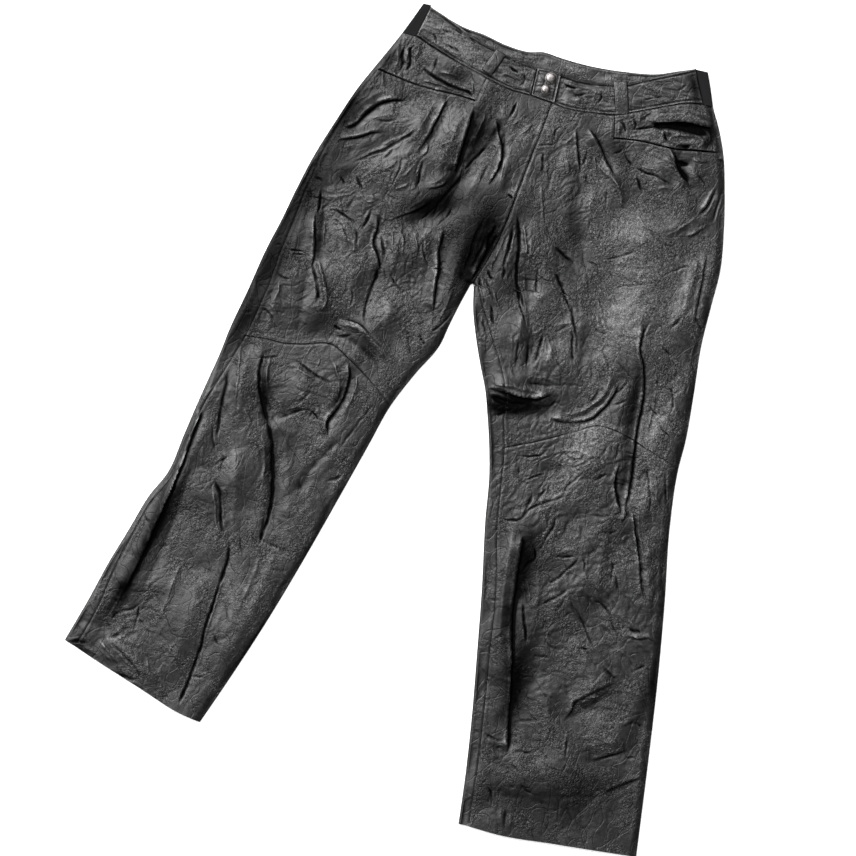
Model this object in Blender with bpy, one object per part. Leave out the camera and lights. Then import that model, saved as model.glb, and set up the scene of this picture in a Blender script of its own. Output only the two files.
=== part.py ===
# A pair of leather trousers lying flat on its back panels, waist towards +Y, fly side up.
# Left and right are as seen from above, so "left" is the wearer's right-hand side.
# The tables are in millimetres from the centre front of the waist seam, X right and Y to the waist.
# MM turns them into metres, and the finished pair is moved so that its box stands on the origin.

import bpy
import numpy as np

for old in list(bpy.data.objects):
    bpy.data.objects.remove(old, do_unlink=True)

MM = 0.001
WALL = 1.5           # one layer of leather
BAND_WALL = 2.4      # waistband, two layers and their interlining
ROLL_RADIUS = 3.0    # outer radius where a back panel rolls up round a leg's left-hand edge
BAND_RADIUS = 3.3    # the same on the elastic inserts of the waistband
BASE = 2 * ROLL_RADIUS       # top of the flattened tube of a leg
BAND_TOP = 2 * BAND_RADIUS   # top of the flattened waistband
SEAM_GAP = 0.4       # what parts two pieces at a seam
LIE_GAP = 0.4        # what parts two layers that lie on each other
SEWN_TOP = 2 * WALL + LIE_GAP    # top of the front panel where it is sewn to the back at an edge
SEWN_FALL = 11.0     # width over which the front panel comes down to that edge
FOLD_FADE = 20.0     # width over which folds die out towards an outline
FOLD_TAPER = 0.25    # share of a fold's length over which it rises at either end
LOWEST_TOP = SEWN_TOP + 0.1      # no trough goes lower, so the layers never touch
POCKET_LAP = 8.0     # how far a pocket facing runs on under the mouth
FACING_TOP = BASE - WALL - LIE_GAP
TAB_TOP = 7.6        # waistband tab, over the end of the right-hand band
TAB_GAP = 0.3        # what parts the tab from the band end under it
TAB_LEFT, TAB_RIGHT = -24.0, 9.0         # ends of the tab along X
BAND_LEFT, BAND_RIGHT = -187.0, 197.0    # where the band meets the elastic inserts at the waist seam
UNDER_TAB = -10.0    # end of the right-hand front band, hidden under the tab
TAB_RAMP = 10.0      # width over which the tab rises to its top
BESIDE_TAB = 1.0     # room beside the tab before the band under it rises again
UNDER_RAMP = 14.0    # width over which it rises
LOOP_WALL = 1.6
LOOP_ARCH = 1.2      # how far a belt loop stands off the band at mid length
LEAST_ROLL = ROLL_RADIUS + 1.0   # shortest strip of back panel that comes round on top
SNAP_CAP, SNAP_RING, SNAP_HEIGHT = 6.0, 8.0, 3.0
SNAP_PROFILE = (     # radius and height up the side of a snap: ring, groove and domed cap
    (SNAP_RING, 0.0), (SNAP_RING, 0.7), (SNAP_CAP + 0.5, 1.0), (SNAP_CAP, 0.8),
    (SNAP_CAP, 1.5), (0.82 * SNAP_CAP, 2.3), (0.45 * SNAP_CAP, 2.85),
)

LEATHER = ((0.024, 0.024, 0.026), 0.42, 0.0)
LEATHER_BACK = ((0.019, 0.019, 0.020), 0.5, 0.0)
BAND_LEATHER = ((0.030, 0.030, 0.032), 0.4, 0.0)
ELASTIC = ((0.022, 0.022, 0.023), 0.9, 0.0)
METAL = ((0.46, 0.46, 0.47), 0.25, 1.0)

# Steps along a leg between its stations: waist, pocket mouth, crotch, knee seam, hem
STEPS = (3, 12, 9, 22)
MOUTH_ROW = STEPS[0]
CROTCH_ROW = MOUTH_ROW + STEPS[1]
KNEE_ROW = CROTCH_ROW + STEPS[2]
BACK_KNEE_ROW = KNEE_ROW + 2     # the back knee seam sits a little lower than the front one
COLUMNS = 20
END_CROWDING = 0.16  # share of a half turn left out at both ends when columns are spaced
BAND_COLUMNS, BAND_ROWS, TAB_COLUMNS = 32, 2, 4
BACK_COUNTS = (8, 5, 2)      # columns of a back panel: on the floor, round the roll, on top
ELASTIC_COUNTS, ELASTIC_ROWS = (2, 8, 2), 4
LOOP_ROWS, SNAP_SIDES = 8, 24
SHARP_EDGE = np.radians(50)
POCKET_COLUMN = 11   # columns between the side seam and the short upright seam of a pocket

# Outlines from waist to hem. station, x, y, roll: how far the back panel comes round on top
LEFT_OUTER = (
    ("waist", -205, 46, 6),
    ("", -222, 11, 6),
    ("mouth", -232, -9, 6),
    ("", -245, -36, 6),
    ("", -264, -86, 6),
    ("", -281, -135, 8),
    ("", -294, -185, 12),
    ("", -303, -225, 15),
    ("crotch", -314, -267, 19),
    ("", -325, -323, 23),
    ("knee", -338, -384, 22),
    ("", -342, -411, 17),
    ("", -350, -451, 12),
    ("", -357, -487, 8),
    ("", -364, -526, 7),
    ("", -374, -580, 7),
    ("", -390, -613, 7),
    ("", -407, -665, 8),
    ("", -422, -710, 11),
    ("", -436, -760, 16),
    ("hem", -455, -821, 16),
)
LEFT_INNER = (
    ("crotch", -45, -253, 0),
    ("", -54, -285, 0),
    ("", -60, -310, 0),
    ("", -66, -338, 0),
    ("", -89, -382, 0),
    ("knee", -111, -430, 0),
    ("", -127, -485, 0),
    ("", -149, -560, 0),
    ("", -179, -660, 0),
    ("", -212, -760, 0),
    ("", -240, -835, 0),
    ("hem", -260, -886, 0),
)
RIGHT_INNER = (
    ("crotch", -41, -253, 7),
    ("", -34, -286, 16),
    ("", -26, -310, 22),
    ("", -10, -350, 29),
    ("", 5, -384, 27),
    ("", 14, -412, 22),
    ("knee", 25, -450, 20),
    ("", 34, -488, 17),
    ("", 42, -545, 16),
    ("", 58, -635, 18),
    ("", 71, -720, 16),
    ("", 82, -795, 15),
    ("", 92, -880, 14),
    ("hem", 97, -939, 13),
)
RIGHT_OUTER = (
    ("waist", 210, 43, 0),
    ("", 225, 15, 0),
    ("mouth", 237, -14, 0),
    ("", 250, -62, 0),
    ("", 260, -110, 0),
    ("", 267, -160, 0),
    ("", 266, -210, 0),
    ("crotch", 265, -260, 0),
    ("", 270, -330, 0),
    ("", 273, -390, 0),
    ("knee", 272, -426, 0),
    ("", 278, -500, 0),
    ("", 294, -600, 0),
    ("", 309, -710, 0),
    ("", 320, -810, 0),
    ("hem", 332, -929, 0),
)
# Centre seam, from the waist down to the crotch. station, x, y, roll
CENTRE = (
    ("waist", 5, 1, 0),
    ("mouth", 2, -22, 0),
    ("", -4, -66, 0),
    ("", -13, -128, 0),
    ("", -19, -170, 0),
    ("", -31, -215, 0),
    ("crotch", -43, -252, 0),
)
PEEK_LEFT, PEEK_RIGHT = 2.5, 0.6    # what shows of the back panel beside a sewn edge

# Lines across the legs, left to right. x, y
WAIST_LEFT_POCKET = ((-205, 46), (-187, 46), (-165, 38), (-130, 26), (-85, 13))
WAIST_LEFT_FRONT = ((-85, 13), (-52, 5.5), (-24, 4), (5, 1))
WAIST_RIGHT_FRONT = ((5, 1), (23, -2), (59, 0), (88, 4))
WAIST_RIGHT_POCKET = ((88, 4), (107, 11), (154, 31), (177, 40), (197, 43), (210, 43))
MOUTH_LEFT = ((-226, -8), (-204, -12), (-180, -16), (-150, -18), (-120, -18), (-93, -20))
MOUTH_RIGHT = ((94, -27), (125, -23), (155, -23), (175, -23), (200, -19), (237, -14))
KNEE_LEFT = (
    (-316, -384), (-290, -382), (-262, -382), (-240, -378),
    (-203, -370), (-176, -384), (-150, -400), (-111, -430),
)
KNEE_RIGHT = (
    (45, -450), (75, -437), (100, -425), (130, -409),
    (158, -395), (185, -397), (225, -410), (272, -426),
)
HEM_LEFT = ((-440, -826), (-422, -833), (-346, -860), (-290, -880), (-260, -886))
HEM_RIGHT = ((110, -939), (150, -941), (230, -936), (332, -929))
BAND_EDGE_LEFT = ((-177, 87), (-150, 77), (-125, 66), (-107, 59), (-81, 52), (-52, 45), (-24, 41))
BAND_EDGE_RIGHT = ((-10, 40), (10, 40), (30, 38), (77, 43), (95, 47), (114, 57), (134, 66), (177, 86))
BACK_EDGE = (
    (-177, 87), (-152, 78), (-127, 71), (-102, 68), (-70, 61), (-39, 59), (-20, 63),
    (0, 61), (35, 59), (90, 62), (132, 69), (155, 78), (177, 86),
)
TAB_EDGE = ((-24, 41), (-8, 41.5), (9, 41))

# Elastic inserts of the waistband, top row and bottom row. outline x, y, reach: how far each run goes inward
ELASTIC_LEFT = ((-187, 89, 10.5), (-196, 67, 14), (-205, 46, 18))
ELASTIC_RIGHT = ((193.5, 85, 16), (203, 62, 13.4), (210, 43, 12.8))

# Belt loops. top x, y, bottom x, y, width
BELT_LOOPS = {
    "belt_loop_left": (-74, 48, -87, 19, 15),
    "belt_loop_right": (85, 44, 96, 8, 18),
}
# Snaps on the tab. x, y, scale
SNAPS = {
    "snap_upper": (-3.2, 31, 1.0),
    "snap_lower": (-6.4, 15.5, 0.82),
}

# The largest folds, by panel: ridges stand up, troughs sink. Columns: x and y of the start, x and y
# of the end, bow (how far the middle is pushed to the left of the way), half width, rise
FOLDS = {
    "left thigh": (
        (-172, -34, -248, -94, -13, 9, -3),
        (-205, -30, -250, -80, -6, 9, 6),
        (-186, -58, -240, -96, -6, 12, 6),
        (-158, -74, -228, -128, -4, 9, -2.5),
        (-150, -96, -215, -150, -4, 14, 6),
        (-126, -30, -150, -106, 5, 9, -3),
        (-146, -40, -166, -92, 4, 10, 7.5),
        (-108, -34, -122, -118, 3, 13, 7.5),
        (-93, -26, -97, -124, 4, 9, -3),
        (-78, -40, -92, -100, 3, 10, 8),
        (-62, -34, -50, -112, 14, 9, -3),
        (-36, -66, -34, -128, 0, 13, 7.5),
        (-62, -72, -100, -160, -3, 9, -3),
        (-64, -100, -78, -150, 0, 11, 5),
        (-142, -108, -140, -156, 0, 11, -2.5),
        (-132, -140, -100, -118, -3, 11, 6),
        (-150, -196, -76, -152, -4, 16, -3),
        (-185, -118, -172, -160, 0, 16, 6),
        (-262, -168, -246, -262, 4, 11, -3),
        (-276, -190, -282, -300, 0, 10, 4.5),
        (-182, -192, -166, -262, -5, 10, -3),
        (-228, -200, -212, -250, 0, 16, 7.5),
        (-148, -204, -150, -270, 0, 14, 6),
        (-120, -190, -108, -262, 0, 12, 6),
        (-98, -190, -84, -300, 5, 11, -3),
        (-66, -180, -72, -300, 0, 10, 6),
        (-258, -250, -250, -372, 0, 12, -3),
        (-248, -262, -226, -336, 6, 10, 7.5),
        (-286, -300, -290, -380, 0, 14, 6),
        (-166, -250, -168, -334, 0, 11, -3),
        (-196, -262, -190, -330, 0, 16, 6),
        (-140, -290, -140, -340, 0, 16, 6),
        (-204, -340, -118, -374, 11, 10, 10.5),
        (-208, -354, -130, -392, 10, 9, -3),
        (-42, -160, -56, -244, 0, 9, 7.5),
    ),
    "left shin": (
        (-226, -400, -224, -466, 0, 26, 9),
        (-176, -378, -188, -470, 6, 9, -3),
        (-158, -400, -170, -470, 0, 13, 6),
        (-286, -396, -252, -508, -6, 10, -3),
        (-306, -400, -296, -500, -5, 13, 7.5),
        (-262, -486, -216, -458, 3, 9, -2.5),
        (-326, -430, -322, -520, 0, 9, -2.5),
        (-256, -500, -236, -600, 4, 12, -3),
        (-236, -500, -206, -620, 4, 16, 6),
        (-298, -520, -276, -640, 4, 14, 7.5),
        (-318, -560, -274, -652, 4, 9, -2.5),
        (-270, -640, -294, -868, 8, 10, -3),
        (-250, -650, -262, -860, 6, 18, 6),
        (-300, -690, -318, -850, 4, 18, 6),
        (-360, -530, -404, -790, 8, 10, 9),
        (-344, -540, -384, -780, 8, 11, -3),
        (-206, -620, -250, -830, 0, 16, 4.5),
        (-400, -800, -330, -846, 0, 14, 6),
    ),
    "right thigh": (
        (-6, -148, 6, -236, 3, 9, -3),
        (-24, -168, -34, -236, 0, 9, -2.6),
        (16, -150, 24, -240, 0, 12, 6),
        (14, -30, 10, -90, 0, 14, 4.5),
        (44, -24, 60, -90, 0, 9, -2.5),
        (34, -40, 40, -90, 0, 12, 6),
        (70, -24, 108, -74, -4, 13, -3),
        (80, -58, 124, -116, 8, 11, 7.5),
        (130, -40, 180, -66, 0, 12, 6),
        (166, -30, 202, -62, -2, 9, -3),
        (196, -34, 216, -62, 0, 12, 7.5),
        (236, -52, 216, -104, 4, 9, -3),
        (150, -128, 214, -104, -12, 12, 4.5),
        (244, -140, 250, -240, 0, 9, -3),
        (232, -150, 232, -230, 0, 11, 6),
        (86, -96, 84, -146, 0, 13, 6),
        (74, -146, 98, -204, 0, 14, -3),
        (44, -176, 88, -198, 0, 9, -2.5),
        (110, -160, 200, -150, 8, 20, 4.5),
        (130, -200, 200, -190, 5, 20, 4.5),
        (12, -190, 44, -298, 0, 10, -2.5),
        (60, -206, 100, -300, 0, 10, -2.5),
        (76, -230, 110, -320, 0, 13, 6),
        (30, -262, 32, -340, 0, 10, 6),
        (46, -296, 54, -352, 0, 9, -2.5),
        (74, -300, 80, -340, 0, 11, 7.5),
        (98, -276, 106, -326, 0, 9, -2.5),
        (186, -246, 186, -290, 0, 9, -2.5),
        (186, -280, 210, -410, 5, 10, -3),
        (162, -320, 112, -392, 14, 10, 9),
        (172, -330, 96, -402, 16, 9, -3),
        (226, -300, 232, -400, 0, 16, 7.5),
        (184, -330, 180, -390, 0, 12, 6),
        (6, -393, 68, -386, 3, 9, -3),
        (10, -372, 72, -366, 0, 10, 10.5),
        (98, -366, 78, -402, 0, 9, -3),
    ),
    "right shin": (
        (208, -400, 216, -504, 0, 10, -3),
        (194, -432, 216, -504, -6, 9, -2.6),
        (228, -424, 250, -500, 0, 9, -2),
        (236, -440, 244, -520, 0, 12, 6),
        (182, -450, 150, -470, 0, 10, -2),
        (122, -430, 170, -436, 0, 12, 4.5),
        (94, -470, 140, -452, 0, 10, -2),
        (216, -488, 268, -604, 0, 10, -3),
        (196, -500, 206, -620, 0, 16, 7.5),
        (250, -520, 280, -620, 0, 11, 6),
        (94, -540, 122, -750, -6, 9, -3),
        (122, -740, 138, -840, 0, 10, -3),
        (80, -520, 104, -740, -6, 9, 7.5),
        (120, -560, 140, -700, 0, 15, 6),
        (150, -600, 160, -720, 0, 18, 4.5),
        (200, -780, 262, -716, 0, 10, -2.5),
        (190, -760, 250, -700, 0, 14, 6),
        (238, -822, 294, -796, 0, 10, -2.5),
        (230, -806, 290, -780, 0, 13, 6),
        (270, -856, 318, -826, 0, 10, -2),
        (146, -760, 160, -900, 0, 18, 4.5),
        (112, -850, 170, -858, 0, 10, -2),
    ),
}


def smooth(t):
    """0 below 0, 1 above 1 and an S curve between them."""
    t = np.clip(t, 0.0, 1.0)
    return t * t * (3.0 - 2.0 * t)


def spline(rows, spots):
    """Points of the smooth curve through the rows, at spots counted in rows from 0."""
    rows = np.asarray(rows, float)
    reach = np.concatenate([[0.0], np.cumsum(np.hypot(*np.diff(rows[:, :2], axis=0).T))])
    slope = np.gradient(rows, reach, axis=0)
    first = np.clip(np.floor(spots).astype(int), 0, len(rows) - 2)
    span = (reach[first + 1] - reach[first])[:, None]
    t = (np.asarray(spots) - first)[:, None]
    return (
        (2 * t**3 - 3 * t**2 + 1) * rows[first]
        + (t**3 - 2 * t**2 + t) * span * slope[first]
        + (3 * t**2 - 2 * t**3) * rows[first + 1]
        + (t**3 - t**2) * span * slope[first + 1]
    )


def across(rows, parts):
    """The smooth curve through the rows, read at parts of its length from 0 to 1."""
    rows = np.asarray(rows, float)
    reach = np.concatenate([[0.0], np.cumsum(np.hypot(*np.diff(rows[:, :2], axis=0).T))])
    spots = np.interp(np.asarray(parts) * reach[-1], reach, np.arange(len(rows)))
    return spline(rows, spots)


def down(table, steps):
    """An outline from station to station, with so many steps in each stretch. Columns x, y, roll."""
    marks = [i for i, row in enumerate(table) if row[0]]
    spots = [np.array([float(marks[0])])]
    for first, last, count in zip(marks, marks[1:], steps):
        spots.append(np.linspace(first, last, count + 1)[1:])
    return spline([row[1:] for row in table], np.concatenate(spots))


def spread(count):
    """Parts from 0 to 1, closer together towards both ends."""
    turn = np.pi * (END_CROWDING + (1 - 2 * END_CROWDING) * np.arange(count + 1) / count)
    return 0.5 - 0.5 * np.cos(turn) / np.cos(turn[0])


def net(top, bottom, left, right, parts):
    """The patch of cloth between four lines: a Coons patch, a row for each point of left and right."""
    v = np.linspace(0.0, 1.0, len(left))[:, None, None]
    u = parts[None, :, None]
    corners = (1 - v) * ((1 - u) * top[0] + u * top[-1]) + v * ((1 - u) * bottom[0] + u * bottom[-1])
    return (1 - v) * top + v * bottom + (1 - u) * left[:, None] + u * right[:, None] - corners


def ended(line, first, last):
    """The line with its two ends put on the points where the seams along the leg run."""
    line = line.copy()
    line[0], line[-1] = first, last
    return line


def distance_to(points, line):
    """Distance in plan from each point to a line of straight stretches."""
    start, run = line[:-1], np.diff(line, axis=0)
    away = points[..., None, :] - start
    part = np.clip((away * run).sum(-1) / (run * run).sum(-1), 0.0, 1.0)
    return np.sqrt(((away - part[..., None] * run) ** 2).sum(-1)).min(-1)


def folds_at(points):
    """Height of all the folds: each is a bell across its bowed line, tapered at both ends."""
    height = np.zeros(points.shape[:-1])
    for x0, y0, x1, y1, bow, half_width, rise in [row for rows in FOLDS.values() for row in rows]:
        start = np.array([x0, y0])
        run = np.array([x1, y1]) - start
        length = np.hypot(*run)
        along = run / length
        part = (points - start) @ along / length
        side = (points - start) @ np.array([-along[1], along[0]])
        inside = np.clip(part, 0.0, 1.0)
        off = (side - bow * 4 * inside * (1 - inside)) / half_width
        ends = smooth(part / FOLD_TAPER) * smooth((1 - part) / FOLD_TAPER)
        height += rise * np.exp(-off * off) * ends
    return height


# The four long edges, a row for each step down the legs
centre = down(CENTRE, STEPS[:2])
left_fold = down(LEFT_OUTER, STEPS)
left_sewn = np.vstack([centre[:-1], down(LEFT_INNER, STEPS[2:])])
right_fold = np.vstack([centre[:-1], down(RIGHT_INNER, STEPS[2:])])
right_sewn = down(RIGHT_OUTER, STEPS)


def top_height(points):
    """Top of the upper layer: level, with folds, and down to the seam at a sewn edge."""
    rolled = np.minimum(distance_to(points, left_fold[:, :2]), distance_to(points, right_fold[CROTCH_ROW:, :2]))
    sewn = np.minimum(distance_to(points, left_sewn[CROTCH_ROW:, :2]), distance_to(points, right_sewn[:, :2]))
    edge = BASE - (BASE - SEWN_TOP) * (1 - smooth(sewn / SEWN_FALL))
    folds = folds_at(points) * smooth(np.minimum(rolled, sewn) / FOLD_FADE)
    return np.maximum(edge + folds, np.minimum(edge, LOWEST_TOP))


def inward(fold, sewn):
    """Unit steps across the leg, from its left-hand edge to its right-hand one."""
    across_leg = sewn[:, :2] - fold[:, :2]
    return across_leg / np.hypot(*across_leg.T)[:, None]


def parted(plan, sides="lrtb"):
    """The plan with its named borders drawn in by half a seam gap."""
    out = plan.copy()
    borders = {
        "l": (np.s_[:, 0], np.s_[:, 1]),
        "r": (np.s_[:, -1], np.s_[:, -2]),
        "t": (np.s_[0, :], np.s_[1, :]),
        "b": (np.s_[-1, :], np.s_[-2, :]),
    }
    for side in sides:
        edge, next_in = borders[side]
        step = plan[next_in] - plan[edge]
        out[edge] += step / np.linalg.norm(step, axis=-1, keepdims=True) * SEAM_GAP / 2
    return out


def lifted(plan, top, wall):
    """Upper and lower points of a layer: its plan with a height, and the wall's thickness below it."""
    return np.dstack([plan, top]), np.dstack([plan, top - wall])


def material(name, look):
    colour, roughness, metallic = look
    made = bpy.data.materials.new(name)
    made.use_nodes = True
    shader = made.node_tree.nodes["Principled BSDF"]
    shader.inputs["Base Color"].default_value = (*colour, 1.0)
    shader.inputs["Roughness"].default_value = roughness
    shader.inputs["Metallic"].default_value = metallic
    return made


# The box of the finished pair in plan, whose middle is put on the origin
corners = np.array([LEFT_OUTER[-1][1:3], RIGHT_OUTER[-1][1:3], *HEM_RIGHT, ELASTIC_LEFT[0][:2]])
MIDDLE = np.append((corners.min(axis=0) + corners.max(axis=0)) / 2, 0.0)


def piece(name, points, faces, look):
    """A named object from points in table millimetres."""
    mesh = bpy.data.meshes.new(name)
    mesh.from_pydata(((np.asarray(points) - MIDDLE) * MM).tolist(), [], faces)
    mesh.update()
    mesh.materials.append(material(name, look))
    mesh.shade_smooth()
    mesh.set_sharp_from_angle(angle=SHARP_EDGE)
    made = bpy.data.objects.new(name, mesh)
    bpy.context.scene.collection.objects.link(made)
    return made


def wall_piece(name, outer, inner, look, keep=None):
    """A closed wall between two nets of points, with a rim round the cells that are kept."""
    rows, columns = outer.shape[:2]
    if keep is None:
        keep = np.ones((rows - 1, columns - 1), bool)
    used = np.zeros((rows, columns), bool)
    for row, column in zip(*np.nonzero(keep)):
        used[row:row + 2, column:column + 2] = True
    number = np.cumsum(used).reshape(rows, columns) - 1
    count = int(used.sum())
    faces = []
    edges = set()
    for row, column in zip(*np.nonzero(keep)):
        corner = number[row:row + 2, column:column + 2]
        ring = [int(i) for i in (corner[0, 0], corner[1, 0], corner[1, 1], corner[0, 1])]
        faces.append(ring)
        faces.append([i + count for i in reversed(ring)])
        edges.update(zip(ring, ring[1:] + ring[:1]))
    for first, last in sorted(edges):
        if (last, first) not in edges:
            faces.append([last, first, first + count, last + count])
    return piece(name, np.vstack([outer[used], inner[used]]), faces, look)


def rolled(fold, steps_in, lower, upper, radius, wall, counts):
    """A layer that lies on the floor, rolls up round the fold line and comes back on top.

    Outer and inner points, a column for each step from the end of the lower run to that of the upper.
    """
    lower_count, turn_count, upper_count = counts
    run = np.linspace(1.0, 0.0, lower_count + 1)[None, :]
    low = radius + run * (lower[:, None] - radius)
    turn = np.pi * np.linspace(0.0, 1.0, turn_count + 1)[None, 1:]
    back = np.linspace(0.0, 1.0, upper_count + 1)[None, 1:]
    high = radius + back * (upper[:, None] - radius)
    ones = np.ones((len(fold), 1))
    outer_in = np.hstack([low, (radius - radius * np.sin(turn)) * ones, high])
    inner_in = np.hstack([low, (radius - (radius - wall) * np.sin(turn)) * ones, high])
    outer_up = np.hstack([0 * low, (radius - radius * np.cos(turn)) * ones, 2 * radius + 0 * high])
    inner_up = np.hstack([
        wall + 0 * low, (radius - (radius - wall) * np.cos(turn)) * ones, 2 * radius - wall + 0 * high,
    ])
    start = fold[:, None, :2]
    return (
        np.dstack([start + outer_in[..., None] * steps_in[:, None], outer_up]),
        np.dstack([start + inner_in[..., None] * steps_in[:, None], inner_up]),
    )


def front_panels(side, fold, sewn, waist, mouth, knee, hem, pocket, peek):
    """Front thigh, with its pocket corner cut away, the facing in that corner, and front shin."""
    step_in = inward(fold, sewn)
    seam = fold[:, :2] + fold[:, 2:] * step_in
    edge = sewn[:, :2].copy()
    below = CROTCH_ROW if side == "left" else 0
    edge[below:] -= step_in[below:] * peek
    parts = spread(COLUMNS)
    waist = ended(waist, seam[0], edge[0])
    mouth = ended(mouth, seam[MOUTH_ROW], edge[MOUTH_ROW])
    knee = ended(across(knee, parts), seam[KNEE_ROW], edge[KNEE_ROW])
    hem = ended(across(hem, parts), seam[-1], edge[-1])
    yoke = net(waist, mouth, seam[:MOUTH_ROW + 1], edge[:MOUTH_ROW + 1], parts)
    body = net(mouth, knee, seam[MOUTH_ROW:KNEE_ROW + 1], edge[MOUTH_ROW:KNEE_ROW + 1], parts)
    thigh = np.vstack([yoke[:-1], body])
    keep = np.ones((KNEE_ROW, COLUMNS), bool)
    keep[:MOUTH_ROW, pocket] = False
    top = top_height(thigh)
    lap = np.s_[MOUTH_ROW:MOUTH_ROW + 2, pocket.start:pocket.stop + 1]
    top[lap] = np.maximum(top[lap], BASE)
    wall_piece("front_thigh_" + side, *lifted(parted(thigh), top, WALL), LEATHER, keep)

    facing = yoke[:, pocket.start:pocket.stop + 1]
    fall = facing[-1] - facing[-2]
    lap_row = facing[-1] + fall / np.linalg.norm(fall, axis=-1, keepdims=True) * POCKET_LAP
    facing = np.vstack([facing, lap_row[None]])
    height = np.minimum(top_height(facing), BASE)
    height[-2:] = np.minimum(FACING_TOP, top_height(facing)[-2:])
    wall_piece("pocket_facing_" + side, *lifted(parted(parted(facing, "lrt"), "lr"), height, WALL), LEATHER)

    shin = net(knee, hem, seam[KNEE_ROW:], edge[KNEE_ROW:], parts)
    wall_piece("front_shin_" + side, *lifted(parted(shin, "lrt"), top_height(shin), WALL), LEATHER)
    return waist


def back_panels(side, fold, sewn, waist):
    """Back thigh and back shin: flat on the floor, rolled up round the left-hand edge of the leg."""
    step_in = inward(fold, sewn)
    lower = np.hypot(*(sewn[:, :2] - fold[:, :2]).T)
    lower_count, turn_count, upper_count = BACK_COUNTS
    upper = np.maximum(fold[:, 2], LEAST_ROLL)
    outer, inner = rolled(fold, step_in, lower, upper, ROLL_RADIUS, WALL, BACK_COUNTS)
    if side == "right":
        # above the crotch the panel has no roll: it ends at the centre seam
        stretch = np.linspace(1.0, 0.0, lower_count + 1)[None, :] * lower[:CROTCH_ROW, None]
        flat = fold[:CROTCH_ROW, None, :2] + stretch[..., None] * step_in[:CROTCH_ROW, None]
        outer[:CROTCH_ROW, :lower_count + 1, :2] = flat
        inner[:CROTCH_ROW, :lower_count + 1, :2] = flat
    # the waist edge follows the curve of the waist seam, less and less for a few rows
    reach = np.linalg.norm(outer[0, :lower_count + 1, :2] - fold[0, :2], axis=-1) / lower[0]
    curve = across(waist, reach) - (fold[0, :2] + reach[:, None] * (sewn[0, :2] - fold[0, :2]))
    for row in range(MOUTH_ROW + 1):
        share = 1 - row / (MOUTH_ROW + 1)
        outer[row, :lower_count + 1, :2] += share * curve
        inner[row, :lower_count + 1, :2] += share * curve
    first = lower_count + turn_count + 1
    crown = top_height(outer[:, first:, :2])
    outer[:, first:, 2] = crown
    inner[:, first:, 2] = crown - WALL
    keep = np.ones((len(fold) - 1, lower_count + turn_count + upper_count), bool)
    if side == "right":
        keep[:CROTCH_ROW, lower_count:] = False
    for name, rows, open_ends in (
        ("back_thigh_", slice(0, BACK_KNEE_ROW + 1), "tb"),
        ("back_shin_", slice(BACK_KNEE_ROW, None), "t"),
    ):
        shift = parted(outer[rows, :, :2], open_ends) - outer[rows, :, :2]
        layers = [layer[rows].copy() for layer in (outer, inner)]
        for layer in layers:
            layer[..., :2] += shift
            for column, step in ((0, -1), (-1, -1)):
                layer[:, column, :2] += step * step_in[rows] * SEAM_GAP / 2
        if side == "right" and name == "back_thigh_":
            for layer in layers:
                layer[:CROTCH_ROW, lower_count, :2] += step_in[:CROTCH_ROW] * SEAM_GAP / 2
        wall_piece(name + side, *layers, LEATHER_BACK, keep[rows.start:rows.stop and rows.stop - 1])
    return outer[0, lower_count::-1, :2]


def band_height(points, start, ramp, low, high):
    """A level that rises from low to high over a ramp along X."""
    return low + (high - low) * smooth((points[..., 0] - start) / ramp)


def band_piece(name, edge, ends, columns, waist, top):
    """A flat piece of waistband between its free edge and the waist seam, from x to x."""
    seam_x = np.linspace(*ends, columns + 1)
    seam = np.stack([seam_x, np.interp(seam_x, *waist.T)], axis=-1)
    v = np.linspace(0.0, 1.0, BAND_ROWS + 1)[:, None, None]
    plan = (1 - v) * across(edge, np.linspace(0.0, 1.0, len(seam))) + v * seam
    plan = parted(parted(plan, "lrb"), "b")
    height = top(plan) if callable(top) else np.full(plan.shape[:2], top)
    wall_piece(name, *lifted(plan, height, BAND_WALL), BAND_LEATHER)


def elastic_piece(name, table, towards):
    """An elastic insert that wraps round one side of the waistband."""
    table = np.asarray(table, float)
    fold = across(table, np.linspace(0.0, 1.0, ELASTIC_ROWS + 1))
    steps_in = np.tile([towards, 0.0], (len(fold), 1))
    reach = fold[:, 2] - SEAM_GAP / 2
    outer, inner = rolled(fold, steps_in, reach, reach, BAND_RADIUS, BAND_WALL, ELASTIC_COUNTS)
    for layer in (outer, inner):
        fall = layer[-1, :, :2] - layer[-2, :, :2]
        layer[-1, :, :2] -= fall / np.linalg.norm(fall, axis=-1, keepdims=True) * SEAM_GAP
    if towards < 0:
        outer, inner = outer[:, ::-1], inner[:, ::-1]
    wall_piece(name, outer, inner, ELASTIC)


def belt_loop(name, top_x, top_y, bottom_x, bottom_y, width):
    """A strap sewn down at both ends that stands a little off the band between them."""
    start, end = np.array([top_x, top_y], float), np.array([bottom_x, bottom_y], float)
    run = (end - start) / np.hypot(*(end - start))
    side = np.array([-run[1], run[0]])
    part = np.linspace(0.0, 1.0, LOOP_ROWS + 1)
    line = start + part[:, None] * (end - start)
    plan = np.stack([line - side * width / 2, line + side * width / 2], axis=1)
    under = BAND_TOP + LIE_GAP + LOOP_ARCH * np.sin(np.pi * part)[:, None] * np.ones((1, 2))
    wall_piece(name, *lifted(plan, under + LOOP_WALL, LOOP_WALL), BAND_LEATHER)


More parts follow.
